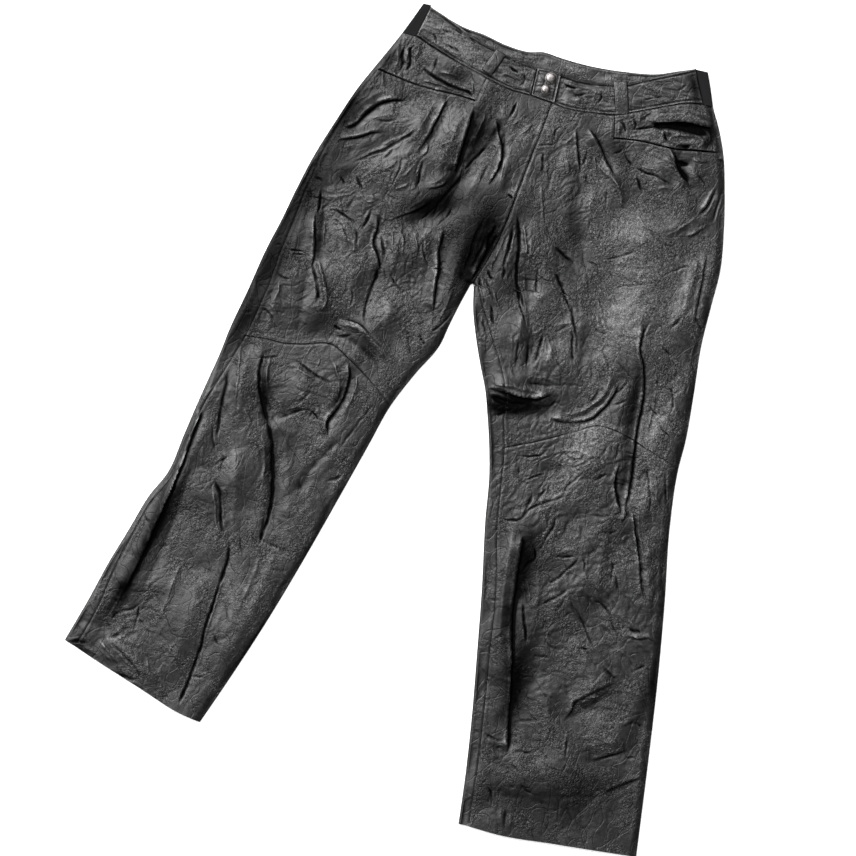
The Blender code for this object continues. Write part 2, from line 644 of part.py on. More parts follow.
def snap(name, x, y, scale):
    """A snap cap turned about its own axis: a thin ring, a groove and a domed cap."""
    turn = 2 * np.pi * np.arange(SNAP_SIDES) / SNAP_SIDES
    around = np.stack([np.cos(turn), np.sin(turn)], axis=-1)
    foot = TAB_TOP + LIE_GAP
    points = [(x, y, foot), (x, y, foot + scale * SNAP_HEIGHT)]
    for radius, height in SNAP_PROFILE:
        ring = np.array([x, y]) + scale * radius * around
        points += [(*spot, foot + scale * height) for spot in ring]
    faces = []
    firsts = [2 + ring * SNAP_SIDES for ring in range(len(SNAP_PROFILE))]
    for i in range(SNAP_SIDES):
        after = (i + 1) % SNAP_SIDES
        faces.append([0, firsts[0] + after, firsts[0] + i])
        for low, high in zip(firsts, firsts[1:]):
            faces.append([low + i, low + after, high + after, high + i])
        faces.append([firsts[-1] + i, firsts[-1] + after, 1])
    piece(name, points, faces, METAL)


def pocket_line(outer, inner, pocket_first):
    """A line across the front in two stretches that meet at the upright seam of the pocket."""
    parts = spread(COLUMNS)
    split = POCKET_COLUMN if pocket_first else COLUMNS - POCKET_COLUMN
    first, last = (outer, inner) if pocket_first else (inner, outer)
    one = across(first, parts[:split + 1] / parts[split])
    two = across(last, (parts[split:] - parts[split]) / (1 - parts[split]))
    return np.vstack([one, two[1:]])


mouth_centre = tuple(centre[MOUTH_ROW, :2])
front_waist = np.vstack([
    front_panels(
        "left", left_fold, left_sewn,
        pocket_line(WAIST_LEFT_POCKET, WAIST_LEFT_FRONT, True),
        pocket_line(MOUTH_LEFT, (MOUTH_LEFT[-1], mouth_centre), True),
        KNEE_LEFT, HEM_LEFT, slice(0, POCKET_COLUMN), PEEK_LEFT,
    ),
    front_panels(
        "right", right_fold, right_sewn,
        pocket_line(WAIST_RIGHT_POCKET, WAIST_RIGHT_FRONT, False),
        pocket_line(MOUTH_RIGHT, (mouth_centre, MOUTH_RIGHT[0]), False),
        KNEE_RIGHT, HEM_RIGHT, slice(COLUMNS - POCKET_COLUMN, COLUMNS), PEEK_RIGHT,
    ),
])
back_waist = np.vstack([
    back_panels("left", left_fold, left_sewn, WAIST_LEFT_POCKET + WAIST_LEFT_FRONT[1:]),
    back_panels("right", right_fold, right_sewn, WAIST_RIGHT_FRONT + WAIST_RIGHT_POCKET[1:]),
])

band_piece("waistband_back", BACK_EDGE, (BAND_LEFT, BAND_RIGHT), BAND_COLUMNS, back_waist, BAND_WALL)
band_piece(
    "waistband_front_left", BAND_EDGE_LEFT, (BAND_LEFT, TAB_LEFT), BAND_COLUMNS // 2, front_waist, BAND_TOP,
)
band_piece(
    "waistband_front_right", BAND_EDGE_RIGHT, (UNDER_TAB, BAND_RIGHT), BAND_COLUMNS // 2, front_waist,
    lambda plan: band_height(
        plan, TAB_RIGHT + BESIDE_TAB, UNDER_RAMP, TAB_TOP - BAND_WALL - TAB_GAP, BAND_TOP,
    ),
)
band_piece(
    "waistband_tab", TAB_EDGE, (TAB_LEFT, TAB_RIGHT), TAB_COLUMNS, front_waist,
    lambda plan: band_height(plan, TAB_LEFT, TAB_RAMP, BAND_TOP + TAB_GAP, TAB_TOP),
)
elastic_piece("elastic_left", ELASTIC_LEFT, 1.0)
elastic_piece("elastic_right", ELASTIC_RIGHT, -1.0)
for loop_name, loop_row in BELT_LOOPS.items():
    belt_loop(loop_name, *loop_row)
for snap_name, snap_row in SNAPS.items():
    snap(snap_name, *snap_row)
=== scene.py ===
# Black leather trousers lying flat on a pale floor, fly side up, seen from straight above.
# Lengths in the tables are millimetres from the centre front of the waist seam, X right and Y to the
# waist. "Left" and "right" are as seen from above. onPart turns them into the frame's metres.
import math

import bpy
import numpy as np
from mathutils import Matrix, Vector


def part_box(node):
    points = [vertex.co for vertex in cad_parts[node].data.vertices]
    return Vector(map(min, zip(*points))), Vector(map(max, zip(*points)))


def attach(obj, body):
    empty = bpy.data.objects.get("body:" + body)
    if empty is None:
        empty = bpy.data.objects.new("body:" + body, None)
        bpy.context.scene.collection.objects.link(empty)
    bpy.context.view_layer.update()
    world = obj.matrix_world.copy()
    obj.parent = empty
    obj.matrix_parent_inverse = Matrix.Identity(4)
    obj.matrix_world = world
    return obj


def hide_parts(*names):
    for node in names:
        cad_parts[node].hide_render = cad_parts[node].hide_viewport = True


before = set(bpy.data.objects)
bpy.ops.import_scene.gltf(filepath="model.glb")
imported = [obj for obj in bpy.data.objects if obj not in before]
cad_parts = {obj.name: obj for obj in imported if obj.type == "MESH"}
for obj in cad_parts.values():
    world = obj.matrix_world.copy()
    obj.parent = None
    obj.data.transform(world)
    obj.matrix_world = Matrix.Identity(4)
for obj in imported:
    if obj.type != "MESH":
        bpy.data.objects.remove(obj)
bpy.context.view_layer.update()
print("frame loaded:", len(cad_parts), "nodes")

mm = 0.001
layout = {
    "wall": 1.5,            # one layer of leather
    "bandWall": 2.4,
    "rollRadius": 3.0,      # where a back panel rolls up round a leg's left-hand edge
    "bandRadius": 3.3,
    "seamGap": 0.02,
    "sewnTop": 3.4,         # top of the front panel where it is sewn to the back at an edge
    "sewnFall": 11.0,
    "edgeFlat": 0.5,        # this close to an outline the leather is as high as the edge
    "floorBend": 0.5,       # roundness where a crease comes down to the lowest top
    "lowestTop": 2.9,       # no crease sinks below this, so that the layers stay apart
    "lowestInner": 1.9,     # the same for the inner side of a wall, unless that leaves less than leastWall
    "leastWall": 0.7,
    "sharpAngle": 60,       # edges with a sharper turn than this many degrees are shaded as edges
    "facingTop": 3.6,
    "tabTop": 7.6,
    "inlay": 3,             # the inner side of a wall has one vertex for so many outside
    "snapPlace": (-3.2, 31.0),
    "steps": (45, 204, 123, 330),    # rows of the walls between the stations, each a multiple of inlay
}
layout["base"] = 2 * layout["rollRadius"]
layout["bandTop"] = 2 * layout["bandRadius"]

snapLow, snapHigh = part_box("snap_upper")
middle = np.array([
    layout["snapPlace"][0] - (snapLow[0] + snapHigh[0]) / 2 / mm,
    layout["snapPlace"][1] - (snapLow[1] + snapHigh[1]) / 2 / mm,
    0.0,
])


def onPart(points):
    return (np.asarray(points, float) - middle) * mm


# Outlines from waist to hem, by station: the rows from there down. Columns: x, y, and the roll, how far the
# back panel comes round on top
leftOuterTable = {
    "waist": ((-205, 46, 6), (-222, 11, 6)),
    "mouth": (
        (-232, -9, 6), (-245, -36, 6), (-264, -86, 6), (-281, -135, 8), (-294, -185, 12), (-303, -225, 15),
    ),
    "crotch": ((-314, -267, 19), (-325, -323, 23)),
    "knee": (
        (-338, -384, 22), (-342, -411, 17), (-350, -451, 12), (-357, -487, 8), (-364, -526, 7),
        (-374, -580, 7), (-390, -613, 7), (-407, -665, 8), (-422, -710, 11), (-436, -760, 16),
    ),
    "hem": ((-455, -821, 16),),
}
leftInnerTable = {
    "crotch": ((-45, -253, 0), (-54, -285, 0), (-60, -310, 0), (-66, -338, 0), (-89, -382, 0)),
    "knee": (
        (-111, -430, 0), (-127, -485, 0), (-149, -560, 0), (-179, -660, 0), (-212, -760, 0),
        (-240, -835, 0),
    ),
    "hem": ((-260, -886, 0),),
}
rightInnerTable = {
    "crotch": (
        (-41, -253, 7), (-34, -286, 16), (-26, -310, 22), (-10, -350, 29), (5, -384, 27), (14, -412, 22),
    ),
    "knee": (
        (25, -450, 20), (34, -488, 17), (42, -545, 16), (58, -635, 18), (71, -720, 16), (82, -795, 15),
        (92, -880, 14),
    ),
    "hem": ((97, -939, 13),),
}
rightOuterTable = {
    "waist": ((210, 43, 0), (225, 15, 0)),
    "mouth": ((237, -14, 0), (250, -62, 0), (260, -110, 0), (267, -160, 0), (266, -210, 0)),
    "crotch": ((265, -260, 0), (270, -330, 0), (273, -390, 0)),
    "knee": ((272, -426, 0), (278, -500, 0), (294, -600, 0), (309, -710, 0), (320, -810, 0)),
    "hem": ((332, -929, 0),),
}
centreTable = {
    "waist": ((5, 1, 0),),
    "mouth": ((2, -22, 0), (-4, -66, 0), (-13, -128, 0), (-19, -170, 0), (-31, -215, 0)),
    "crotch": ((-43, -252, 0),),
}
# Seam lines across the garment, left to right
lines = {
    "waistLeftPocket": ((-205, 46), (-187, 46), (-165, 38), (-130, 26), (-85, 13)),
    "waistLeftFront": ((-85, 13), (-52, 5.5), (-24, 4), (5, 1)),
    "waistRightFront": ((5, 1), (23, -2), (59, 0), (88, 4)),
    "waistRightPocket": ((88, 4), (107, 11), (154, 31), (177, 40), (197, 43), (210, 43)),
    "mouthLeft": ((-226, -8), (-204, -12), (-180, -16), (-150, -18), (-120, -18), (-93, -20)),
    "mouthRight": ((94, -27), (125, -23), (155, -23), (175, -23), (200, -19), (237, -14)),
    "kneeLeft": ((-316, -384), (-290, -382), (-262, -382), (-240, -378),
                 (-203, -370), (-176, -384), (-150, -400), (-111, -430)),
    "kneeRight": ((45, -450), (75, -437), (100, -425), (130, -409),
                  (158, -395), (185, -397), (225, -410), (272, -426)),
    "hemLeft": ((-440, -826), (-422, -833), (-346, -860), (-290, -880), (-260, -886)),
    "hemRight": ((110, -939), (150, -941), (230, -936), (332, -929)),
    "bandLeft": ((-177, 87), (-150, 77), (-125, 66), (-107, 59), (-81, 52), (-52, 45), (-24, 41)),
    "bandRight": ((-10, 40), (10, 40), (30, 38), (77, 43), (95, 47), (114, 57), (134, 66), (177, 86)),
    "bandBack": ((-177, 87), (-152, 78), (-127, 71), (-102, 68), (-70, 61), (-39, 59), (-20, 63),
                 (0, 61), (35, 59), (90, 62), (132, 69), (155, 78), (177, 86)),
    "tab": ((-24, 41), (-8, 41.5), (9, 41)),
}

# Soft folds, as in the solids. Columns: x and y of the start, x and y of the end, bow, half width, rise
folds = {
    "left thigh": (
        (-172, -34, -248, -94, -13, 9, -3), (-205, -30, -250, -80, -6, 9, 6),
        (-186, -58, -240, -96, -6, 12, 6), (-158, -74, -228, -128, -4, 9, -2.5),
        (-150, -96, -215, -150, -4, 14, 6), (-126, -30, -150, -106, 5, 9, -3),
        (-146, -40, -166, -92, 4, 10, 7.5), (-108, -34, -122, -118, 3, 13, 7.5),
        (-93, -26, -97, -124, 4, 9, -3), (-78, -40, -92, -100, 3, 10, 8), (-62, -34, -50, -112, 14, 9, -3),
        (-36, -66, -34, -128, 0, 13, 7.5), (-62, -72, -100, -160, -3, 9, -3),
        (-64, -100, -78, -150, 0, 11, 5), (-142, -108, -140, -156, 0, 11, -2.5),
        (-132, -140, -100, -118, -3, 11, 6), (-150, -196, -76, -152, -4, 16, -3),
        (-185, -118, -172, -160, 0, 16, 6), (-262, -168, -246, -262, 4, 11, -3),
        (-276, -190, -282, -300, 0, 10, 4.5), (-182, -192, -166, -262, -5, 10, -3),
        (-228, -200, -212, -250, 0, 16, 7.5), (-148, -204, -150, -270, 0, 14, 6),
        (-120, -190, -108, -262, 0, 12, 6), (-98, -190, -84, -300, 5, 11, -3),
        (-66, -180, -72, -300, 0, 10, 6), (-258, -250, -250, -372, 0, 12, -3),
        (-248, -262, -226, -336, 6, 10, 7.5), (-286, -300, -290, -380, 0, 14, 6),
        (-166, -250, -168, -334, 0, 11, -3), (-196, -262, -190, -330, 0, 16, 6),
        (-140, -290, -140, -340, 0, 16, 6), (-204, -340, -118, -374, 11, 10, 10.5),
        (-208, -354, -130, -392, 10, 9, -3), (-42, -160, -56, -244, 0, 9, 7.5),
    ),
    "left shin": (
        (-226, -400, -224, -466, 0, 26, 9), (-176, -378, -188, -470, 6, 9, -3),
        (-158, -400, -170, -470, 0, 13, 6), (-286, -396, -252, -508, -6, 10, -3),
        (-306, -400, -296, -500, -5, 13, 7.5), (-262, -486, -216, -458, 3, 9, -2.5),
        (-326, -430, -322, -520, 0, 9, -2.5), (-256, -500, -236, -600, 4, 12, -3),
        (-236, -500, -206, -620, 4, 16, 6), (-298, -520, -276, -640, 4, 14, 7.5),
        (-318, -560, -274, -652, 4, 9, -2.5), (-270, -640, -294, -868, 8, 10, -3),
        (-250, -650, -262, -860, 6, 18, 6), (-300, -690, -318, -850, 4, 18, 6),
        (-360, -530, -404, -790, 8, 10, 9), (-344, -540, -384, -780, 8, 11, -3),
        (-206, -620, -250, -830, 0, 16, 4.5), (-400, -800, -330, -846, 0, 14, 6),
    ),
    "right thigh": (
        (-6, -148, 6, -236, 3, 9, -3), (-24, -168, -34, -236, 0, 9, -2.6), (16, -150, 24, -240, 0, 12, 6),
        (14, -30, 10, -90, 0, 14, 4.5), (44, -24, 60, -90, 0, 9, -2.5), (34, -40, 40, -90, 0, 12, 6),
        (70, -24, 108, -74, -4, 13, -3), (80, -58, 124, -116, 8, 11, 7.5), (130, -40, 180, -66, 0, 12, 6),
        (166, -30, 202, -62, -2, 9, -3), (196, -34, 216, -62, 0, 12, 7.5), (236, -52, 216, -104, 4, 9, -3),
        (150, -128, 214, -104, -12, 12, 4.5), (244, -140, 250, -240, 0, 9, -3),
        (232, -150, 232, -230, 0, 11, 6), (86, -96, 84, -146, 0, 13, 6), (74, -146, 98, -204, 0, 14, -3),
        (44, -176, 88, -198, 0, 9, -2.5), (110, -160, 200, -150, 8, 20, 4.5),
        (130, -200, 200, -190, 5, 20, 4.5), (12, -190, 44, -298, 0, 10, -2.5),
        (60, -206, 100, -300, 0, 10, -2.5), (76, -230, 110, -320, 0, 13, 6), (30, -262, 32, -340, 0, 10, 6),
        (46, -296, 54, -352, 0, 9, -2.5), (74, -300, 80, -340, 0, 11, 7.5),
        (98, -276, 106, -326, 0, 9, -2.5), (186, -246, 186, -290, 0, 9, -2.5),
        (186, -280, 210, -410, 5, 10, -3), (162, -320, 112, -392, 14, 10, 9),
        (172, -330, 96, -402, 16, 9, -3), (226, -300, 232, -400, 0, 16, 7.5),
        (184, -330, 180, -390, 0, 12, 6), (6, -393, 68, -386, 3, 9, -3), (10, -372, 72, -366, 0, 10, 10.5),
        (98, -366, 78, -402, 0, 9, -3),
    ),
    "right shin": (
        (208, -400, 216, -504, 0, 10, -3), (194, -432, 216, -504, -6, 9, -2.6),
        (228, -424, 250, -500, 0, 9, -2), (236, -440, 244, -520, 0, 12, 6),
        (182, -450, 150, -470, 0, 10, -2), (122, -430, 170, -436, 0, 12, 4.5),
        (94, -470, 140, -452, 0, 10, -2), (216, -488, 268, -604, 0, 10, -3),
        (196, -500, 206, -620, 0, 16, 7.5), (250, -520, 280, -620, 0, 11, 6),
        (94, -540, 122, -750, -6, 9, -3), (122, -740, 138, -840, 0, 10, -3),
        (80, -520, 104, -740, -6, 9, 7.5), (120, -560, 140, -700, 0, 15, 6),
        (150, -600, 160, -720, 0, 18, 4.5), (200, -780, 262, -716, 0, 10, -2.5),
        (190, -760, 250, -700, 0, 14, 6), (238, -822, 294, -796, 0, 10, -2.5),
        (230, -806, 290, -780, 0, 13, 6), (270, -856, 318, -826, 0, 10, -2),
        (146, -760, 160, -900, 0, 18, 4.5), (112, -850, 170, -858, 0, 10, -2),
    ),
}

# Sharp creases: width, depth, and then x and y of each place that it passes. A trough is a V with a soft
# bulge on both sides, a ridge a rounded crest, and a tuck is high on the left of its way and leans over
# the low side.
creases = {
    "trough": (
        # left waist
        (2.4, 2.4, -174, 9, -163, 4, -150, -1, -130, -7, -110, -9, -101, -12, -94, -17),
        (2.2, 2, -196, 32, -199, 18, -195, 4, -198, -8), (2, 2, -181, 36, -190, 28, -186, 12, -190, -6),
        (1.8, 1.2, -152, 26, -154, 14, -150, 8),
        # left hip
        (2, 1.6, -158, -74, -170, -86, -180, -94, -192, -106, -206, -116, -224, -127),
        (1.8, 1.2, -180, -102, -186, -112, -192, -121), (2.2, 2.4, -63, -70, -70, -82, -80, -98, -88, -112),
        (2.6, 2, -88, -112, -92, -128, -100, -142, -108, -160, -114, -176),
        (1.8, 1.4, -56, -92, -60, -108, -64, -126), (1.8, 1.6, -130, -188, -118, -174, -110, -162),
        (1.6, 1.4, -106, -190, -96, -176, -90, -160),
        (1.4, 1.2, -232, -136, -222, -128, -208, -122, -190, -112),
        (1.4, 1.2, -240, -206, -226, -216, -214, -230, -208, -244),
        (1.4, 1.2, -222, -70, -206, -72, -188, -66, -172, -58),
        (1.6, 1.2, -142, -110, -141, -130, -142, -152), (1.6, 1.2, -168, -108, -169, -128, -174, -152),
        (1.8, 1.6, -276, -163, -268, -163, -262, -166, -257, -170),
        (2.2, 2.2, -261, -174, -260, -190, -258, -212), (1.6, 1.2, -245, -152, -238, -158, -232, -166),
        (1.8, 1.6, -248, -199, -230, -200, -214, -206, -202, -212),
        (1.6, 1.2, -224, -146, -214, -158, -206, -168), (1.8, 1.6, -192, -190, -196, -204, -198, -216),
        (2.2, 2, -207, -214, -203, -226, -199, -238), (2, 1.8, -172, -216, -166, -232, -160, -250),
        (1.8, 1.4, -118, -206, -114, -226, -104, -240), (1.6, 1.4, -288, -262, -274, -261, -262, -260),
        (1.4, 1.2, -284, -268, -272, -265, -262, -264),
        # left thigh
        (2.4, 1.8, -254, -266, -244, -288, -236, -308, -234, -326),
        (2.4, 1.8, -166, -256, -168, -280, -171, -306, -170, -330),
        (1.8, 1.6, -209, -344, -201, -346, -192, -349), (1.6, 1.4, -206, -358, -192, -356, -178, -350),
        (1.6, 1.2, -305, -342, -294, -346, -287, -352, -283, -362),
        (1.8, 1.4, -97, -330, -90, -338, -81, -346), (1.8, 1.2, -112, -330, -104, -350, -98, -366),
        (1.6, 1.2, -150, -262, -138, -276, -122, -284), (1.8, 1.4, -60, -292, -70, -312, -84, -328),
        (1.6, 1, -298, -290, -282, -300, -270, -296), (1.8, 1.2, -196, -286, -190, -306, -192, -322),
        # left knee
        (1.8, 1.4, -246, -398, -230, -406, -214, -413, -186, -420),
        (1.6, 1.2, -241, -433, -222, -437, -200, -437),
        (2.4, 1.8, -286, -398, -287, -420, -283, -442, -268, -474, -250, -506),
        (1.8, 1.4, -252, -480, -236, -470, -220, -460, -204, -455),
        (2, 1.4, -326, -430, -325, -460, -324, -490, -321, -522),
        (1.6, 1, -296, -408, -280, -404, -262, -398), (1.8, 1, -132, -430, -146, -460, -164, -500),
        (1.4, 1, -214, -424, -222, -446, -234, -458), (1.4, 1, -196, -444, -206, -458, -214, -474),
        # left shin
        (2.6, 1.8, -262, -490, -250, -510, -243, -538, -237, -562, -233, -592, -236, -642),
        (1.6, 1.2, -332, -500, -324, -526, -316, -545), (1.8, 1.8, -319, -560, -308, -548, -298, -538),
        (1.6, 1.4, -310, -538, -307, -552, -309, -566),
        (2.2, 1.8, -315, -572, -304, -586, -296, -606, -292, -624, -282, -644),
        (2.2, 2.6, -292, -872, -288, -850, -285, -826, -281, -796, -280, -768, -278, -740, -275, -704,
         -272, -672, -275, -648),
        (1.6, 1, -266, -632, -260, -650, -250, -668), (1.4, 1, -369, -676, -358, -673, -348, -669),
        (1.6, 1.2, -402, -767, -386, -765, -376, -760, -369, -752),
        (1.6, 1.4, -371, -752, -370, -772, -370, -790), (1.6, 1.2, -404, -784, -396, -772, -384, -770),
        (1.8, 1.4, -402, -806, -390, -800, -378, -792),
        (1.6, 1.2, -398, -808, -384, -818, -368, -828, -352, -840, -344, -850),
        (2.6, 2.2, -452, -822, -438, -819, -420, -818), (2, 1.6, -386, -846, -366, -850, -348, -852),
        (1.6, 1.4, -218, -456, -206, -462, -196, -470),
        (9, 1.2, -160, -482, -180, -510, -192, -530, -199, -552, -206, -572),
        (1.6, 1, -146, -502, -154, -512, -160, -520), (2.2, 1.2, -148, -532, -160, -538, -172, -546),
        (1.6, 1.4, -238, -637, -222, -640, -206, -643, -186, -643),
        (1.4, 1, -226, -603, -212, -602, -197, -599), (1.4, 1.2, -185, -667, -198, -670, -220, -671),
        (1.6, 1.2, -238, -598, -237, -620, -236, -648), (1.4, 0.9, -258, -786, -264, -776, -270, -766),
        (1.4, 0.9, -293, -812, -300, -820, -310, -822), (1.4, 1.1, -288, -830, -276, -829, -266, -829),
        # crotch
        (2, 1.8, -58, -242, -54, -212, -52, -184, -46, -164),
        (5, 3, -22, -176, -28, -196, -36, -216, -41, -240), (1.8, 1.6, -28, -228, -22, -238, -16, -242),
        (2.4, 2.4, -9, -160, -7, -186, -8, -210, -4, -240),
        (2.2, 2.2, -6, -150, 0, -170, 5, -192, 8, -216, 14, -240, 26, -266),
        (1.6, 1.6, 14, -182, 18, -192, 19, -204), (1.6, 1.6, -26, -128, -20, -129, -15, -134),
        (1.8, 1.6, -38, -234, -32, -252, -24, -268, -20, -282), (1.6, 1.4, -28, -238, -18, -256, -8, -270),
        (1.8, 1.6, -14, -268, -8, -290, 0, -308),
        # right hip
        (1.8, 1.6, -38, -6, -42, -20, -46, -36), (1.6, 1.4, -3, -58, 6, -56, 16, -52, 26, -49),
        (1.8, 1.4, 9, -62, 11, -78, 14, -96), (1.6, 1.2, 62, -44, 64, -60, 60, -74),
        (1.8, 1.6, 70, -76, 72, -89, 84, -92), (1.6, 1.2, 98, -92, 102, -104, 104, -118),
        (1.6, 1.2, 96, -46, 104, -42, 110, -36), (1.6, 1.4, 110, -40, 118, -50, 128, -57),
        (1.8, 1.8, 126, -57, 144, -60, 160, -62, 172, -66, 186, -70),
        (1.6, 1.4, 132, -64, 140, -78, 148, -90), (3, 3, 176, -36, 186, -39, 197, -36),
        (1.8, 1.6, 184, -46, 196, -54, 202, -64), (1.4, 1, 206, -48, 216, -52, 224, -60),
        (2.4, 2, 246, -52, 245, -74, 243, -104), (1.8, 1, 162, -128, 176, -140, 194, -146, 206, -142),
        (1.4, 1, 22, -24, 18, -36, 20, -48),
        # right pocket
        (6.5, 6, 136, 0, 160, 6, 184, 8, 212, 6), (3.2, 3, 172, -20, 182, -17, 196, -12),
        (2, 1.8, 154, 2, 158, -8, 163, -18), (1.8, 1.8, 112, 6, 118, -4, 114, -12),
        (1.8, 2, 112, -11, 124, -6, 136, -2, 146, 2), (1.8, 1.6, 136, 18, 128, 10, 126, 2),
        (1.6, 1.4, 94, -2, 104, -8, 108, -18),
        # right thigh
        (1.4, 1.2, 112, -184, 128, -178, 142, -170, 158, -158),
        (1.4, 1.1, 190, -191, 204, -180, 218, -170, 232, -163),
        (1.4, 1.1, 138, -217, 150, -210, 164, -206, 184, -198), (1.3, 1, 168, -218, 184, -213, 200, -210),
        (1.8, 1.4, 94, -190, 104, -191, 113, -195, 120, -190),
        (2, 1.6, 110, -196, 120, -210, 127, -226, 130, -242),
        (2, 1.6, 42, -178, 56, -183, 68, -190, 84, -198),
        (1.6, 1.4, 56, -206, 64, -220, 74, -234, 84, -250, 96, -264),
        (1.5, 1.2, 34, -204, 38, -232, 40, -252), (1.6, 1.4, 14, -236, 22, -252, 32, -270),
        (1.6, 1.2, 18, -256, 28, -272, 40, -292), (1.8, 1.6, 86, -244, 94, -266, 104, -288, 112, -312),
        (1.8, 1.4, 248, -226, 256, -238, 263, -246), (1.6, 1.4, 236, -224, 228, -240, 216, -256),
        (2, 1.6, 196, -244, 190, -256, 187, -272), (1.5, 1.1, 226, -196, 230, -210, 226, -224),
        (1.8, 1.6, 44, -300, 47, -322, 50, -346), (1.8, 1.6, 62, -290, 60, -314, 58, -340),
        (1.6, 1.4, 30, -300, 34, -324, 36, -350), (1.8, 1.5, 95, -275, 99, -292, 104, -310, 108, -326),
        (1.5, 1.2, 160, -305, 174, -316, 190, -326), (1.5, 1.2, 70, -292, 82, -284, 90, -276),
        (1.5, 1.2, 120, -268, 134, -276, 148, -272), (1.5, 1.1, 136, -296, 150, -310, 156, -326),
        (1.5, 1.1, 210, -270, 222, -280, 236, -284), (1.5, 1.2, 84, -322, 96, -334, 110, -342),
        # right knee
        (1.6, 1.4, 138, -372, 146, -356, 150, -338), (1.5, 1.3, 166, -352, 176, -342, 184, -326),
        (1.5, 1.3, 170, -366, 180, -358, 190, -352), (1.5, 1.3, 214, -352, 226, -362, 240, -362),
        (1.5, 1.3, 218, -330, 232, -326, 246, -332), (5, 3.4, 8, -387, 28, -391, 46, -392, 62, -388),
        (2, 1.8, 99, -366, 94, -380, 80, -400), (1.8, 1.6, 20, -414, 34, -406, 50, -395),
        (1.8, 1.4, 228, -426, 238, -450, 250, -490), (1.8, 1.4, 186, -448, 176, -458, 164, -470),
        (1.8, 1.4, 156, -454, 144, -470, 130, -490), (1.8, 1.4, 106, -470, 94, -476, 80, -486),
        (1.6, 1.2, 118, -436, 136, -444, 150, -440), (1.6, 1.2, 66, -456, 84, -452, 100, -444),
        (1.6, 1.2, 176, -410, 172, -430, 160, -444), (1.5, 1.2, 184, -404, 190, -420, 188, -436),
        (2, 0.9, 52, -362, 78, -358, 106, -352, 136, -348), (1.5, 1.1, 236, -320, 246, -344, 244, -366),
        (1.5, 1.1, 226, -366, 240, -380, 256, -390), (1.6, 1.2, 256, -432, 262, -456, 268, -478),
        (1.4, 1, 70, -462, 72, -480, 80, -494),
        # right shin
        (2, 1.8, 113, -636, 119, -656, 126, -676, 131, -694),
        (2, 1.8, 104, -604, 108, -592, 116, -580, 110, -562),
        (1.8, 1.8, 60, -540, 76, -539, 88, -534, 94, -522, 104, -512, 122, -502, 138, -490),
        (1.8, 1.6, 88, -534, 92, -516, 96, -496), (1.6, 1.4, 102, -512, 106, -498, 112, -486),
        (1.8, 1.6, 132, -520, 129, -540, 123, -556, 120, -574), (1.5, 1.2, 130, -545, 142, -536, 152, -530),
        (1.5, 1.4, 132, -576, 148, -571, 162, -568, 174, -564),
        (1.6, 1.6, 175, -563, 162, -584, 150, -600, 136, -612), (1.4, 1.2, 175, -563, 181, -574, 184, -586),
        (1.4, 1.2, 175, -563, 186, -556, 196, -548), (1.5, 1.4, 134, -640, 146, -630, 158, -620, 171, -606),
        (1.4, 1.1, 174, -604, 184, -602, 197, -600),
        (1.5, 1.4, 171, -618, 179, -630, 190, -640, 202, -656, 212, -670, 222, -682),
        (1.6, 1.5, 198, -617, 214, -619, 226, -628, 236, -644, 246, -656),
        (1.8, 1.8, 250, -640, 262, -643, 276, -641), (1.6, 1.6, 188, -528, 204, -526, 216, -520),
        (1.5, 1.2, 222, -574, 228, -588, 234, -602), (1.8, 1.2, 214, -556, 218, -572, 219, -592),
        (1.6, 1.6, 188, -683, 202, -681, 216, -680), (1.5, 1.4, 192, -676, 192, -686, 196, -696),
        (1.3, 1, 85, -697, 95, -690, 105, -684), (1.6, 1.1, 134, -703, 152, -703, 172, -701),
        (1.5, 1.1, 152, -680, 166, -688, 184, -684), (1.5, 1.1, 230, -694, 244, -704, 262, -712),
        (1.4, 1.2, 266, -700, 280, -690, 292, -680), (1.8, 1.6, 101, -816, 112, -819, 122, -822, 130, -823),
        (1.6, 1.4, 114, -831, 124, -830, 132, -829), (1.6, 1.4, 140, -832, 158, -829, 175, -827),
        (1.6, 1.4, 133, -844, 148, -850, 163, -857), (1.4, 1.2, 286, -808, 294, -805, 302, -803),
        (1.6, 1.2, 210, -796, 212, -812, 214, -828), (1.4, 1, 213, -845, 216, -836, 219, -828),
        (2.2, 1.2, 152, -904, 155, -920, 157, -934), (1.4, 0.9, 132, -796, 152, -789, 174, -782),
        (1.6, 1, 160, -866, 172, -876, 186, -880), (1.8, 1, 120, -880, 130, -892, 134, -910),
        (1.4, 0.9, 196, -898, 210, -894, 226, -892), (1.4, 0.9, 262, -740, 276, -748, 296, -752),
        (1.4, 1, 278, -764, 292, -760, 306, -766),
        # seam strips
        (1.4, 0.8, 54, -560, 60, -556, 68, -558), (1.2, 0.7, 62, -600, 70, -603, 80, -600),
        (1.2, 0.7, 66, -640, 76, -645, 86, -642), (1.2, 0.7, 74, -706, 84, -704, 92, -708),
        (1.2, 0.7, -392, -640, -384, -646, -378, -648), (1.2, 0.6, -402, -690, -394, -694, -388, -692),
        (1.2, 0.7, -416, -742, -408, -746, -402, -742), (1.2, 0.6, -306, -262, -298, -258, -292, -262),
        (1.2, 0.7, -16, -344, -6, -350, 6, -348), (1.2, 0.7, -24, -318, -14, -322, -6, -320),
    ),
    "ridge": (
        # left waist
        (4, 2, -150, 6, -138, 7, -125, 7, -112, 5), (2.6, 1.6, -170, -10, -150, -8, -125, -12, -104, -14),
        (3, 2.4, -208, 26, -202, 8, -206, -8), (2.6, 2.2, -190, 30, -192, 16, -189, 0),
        (2.4, 1.6, -178, 34, -180, 14, -176, 2), (2.6, 1.6, -104, 8, -100, -2, -98, -14),
        # left hip
        (3.2, 1.8, -244, -84, -236, -72, -224, -58, -212, -55), (3, 1.8, -248, -62, -238, -50, -226, -38),
        (2.4, 1.6, -246, -117, -236, -112, -230, -108),
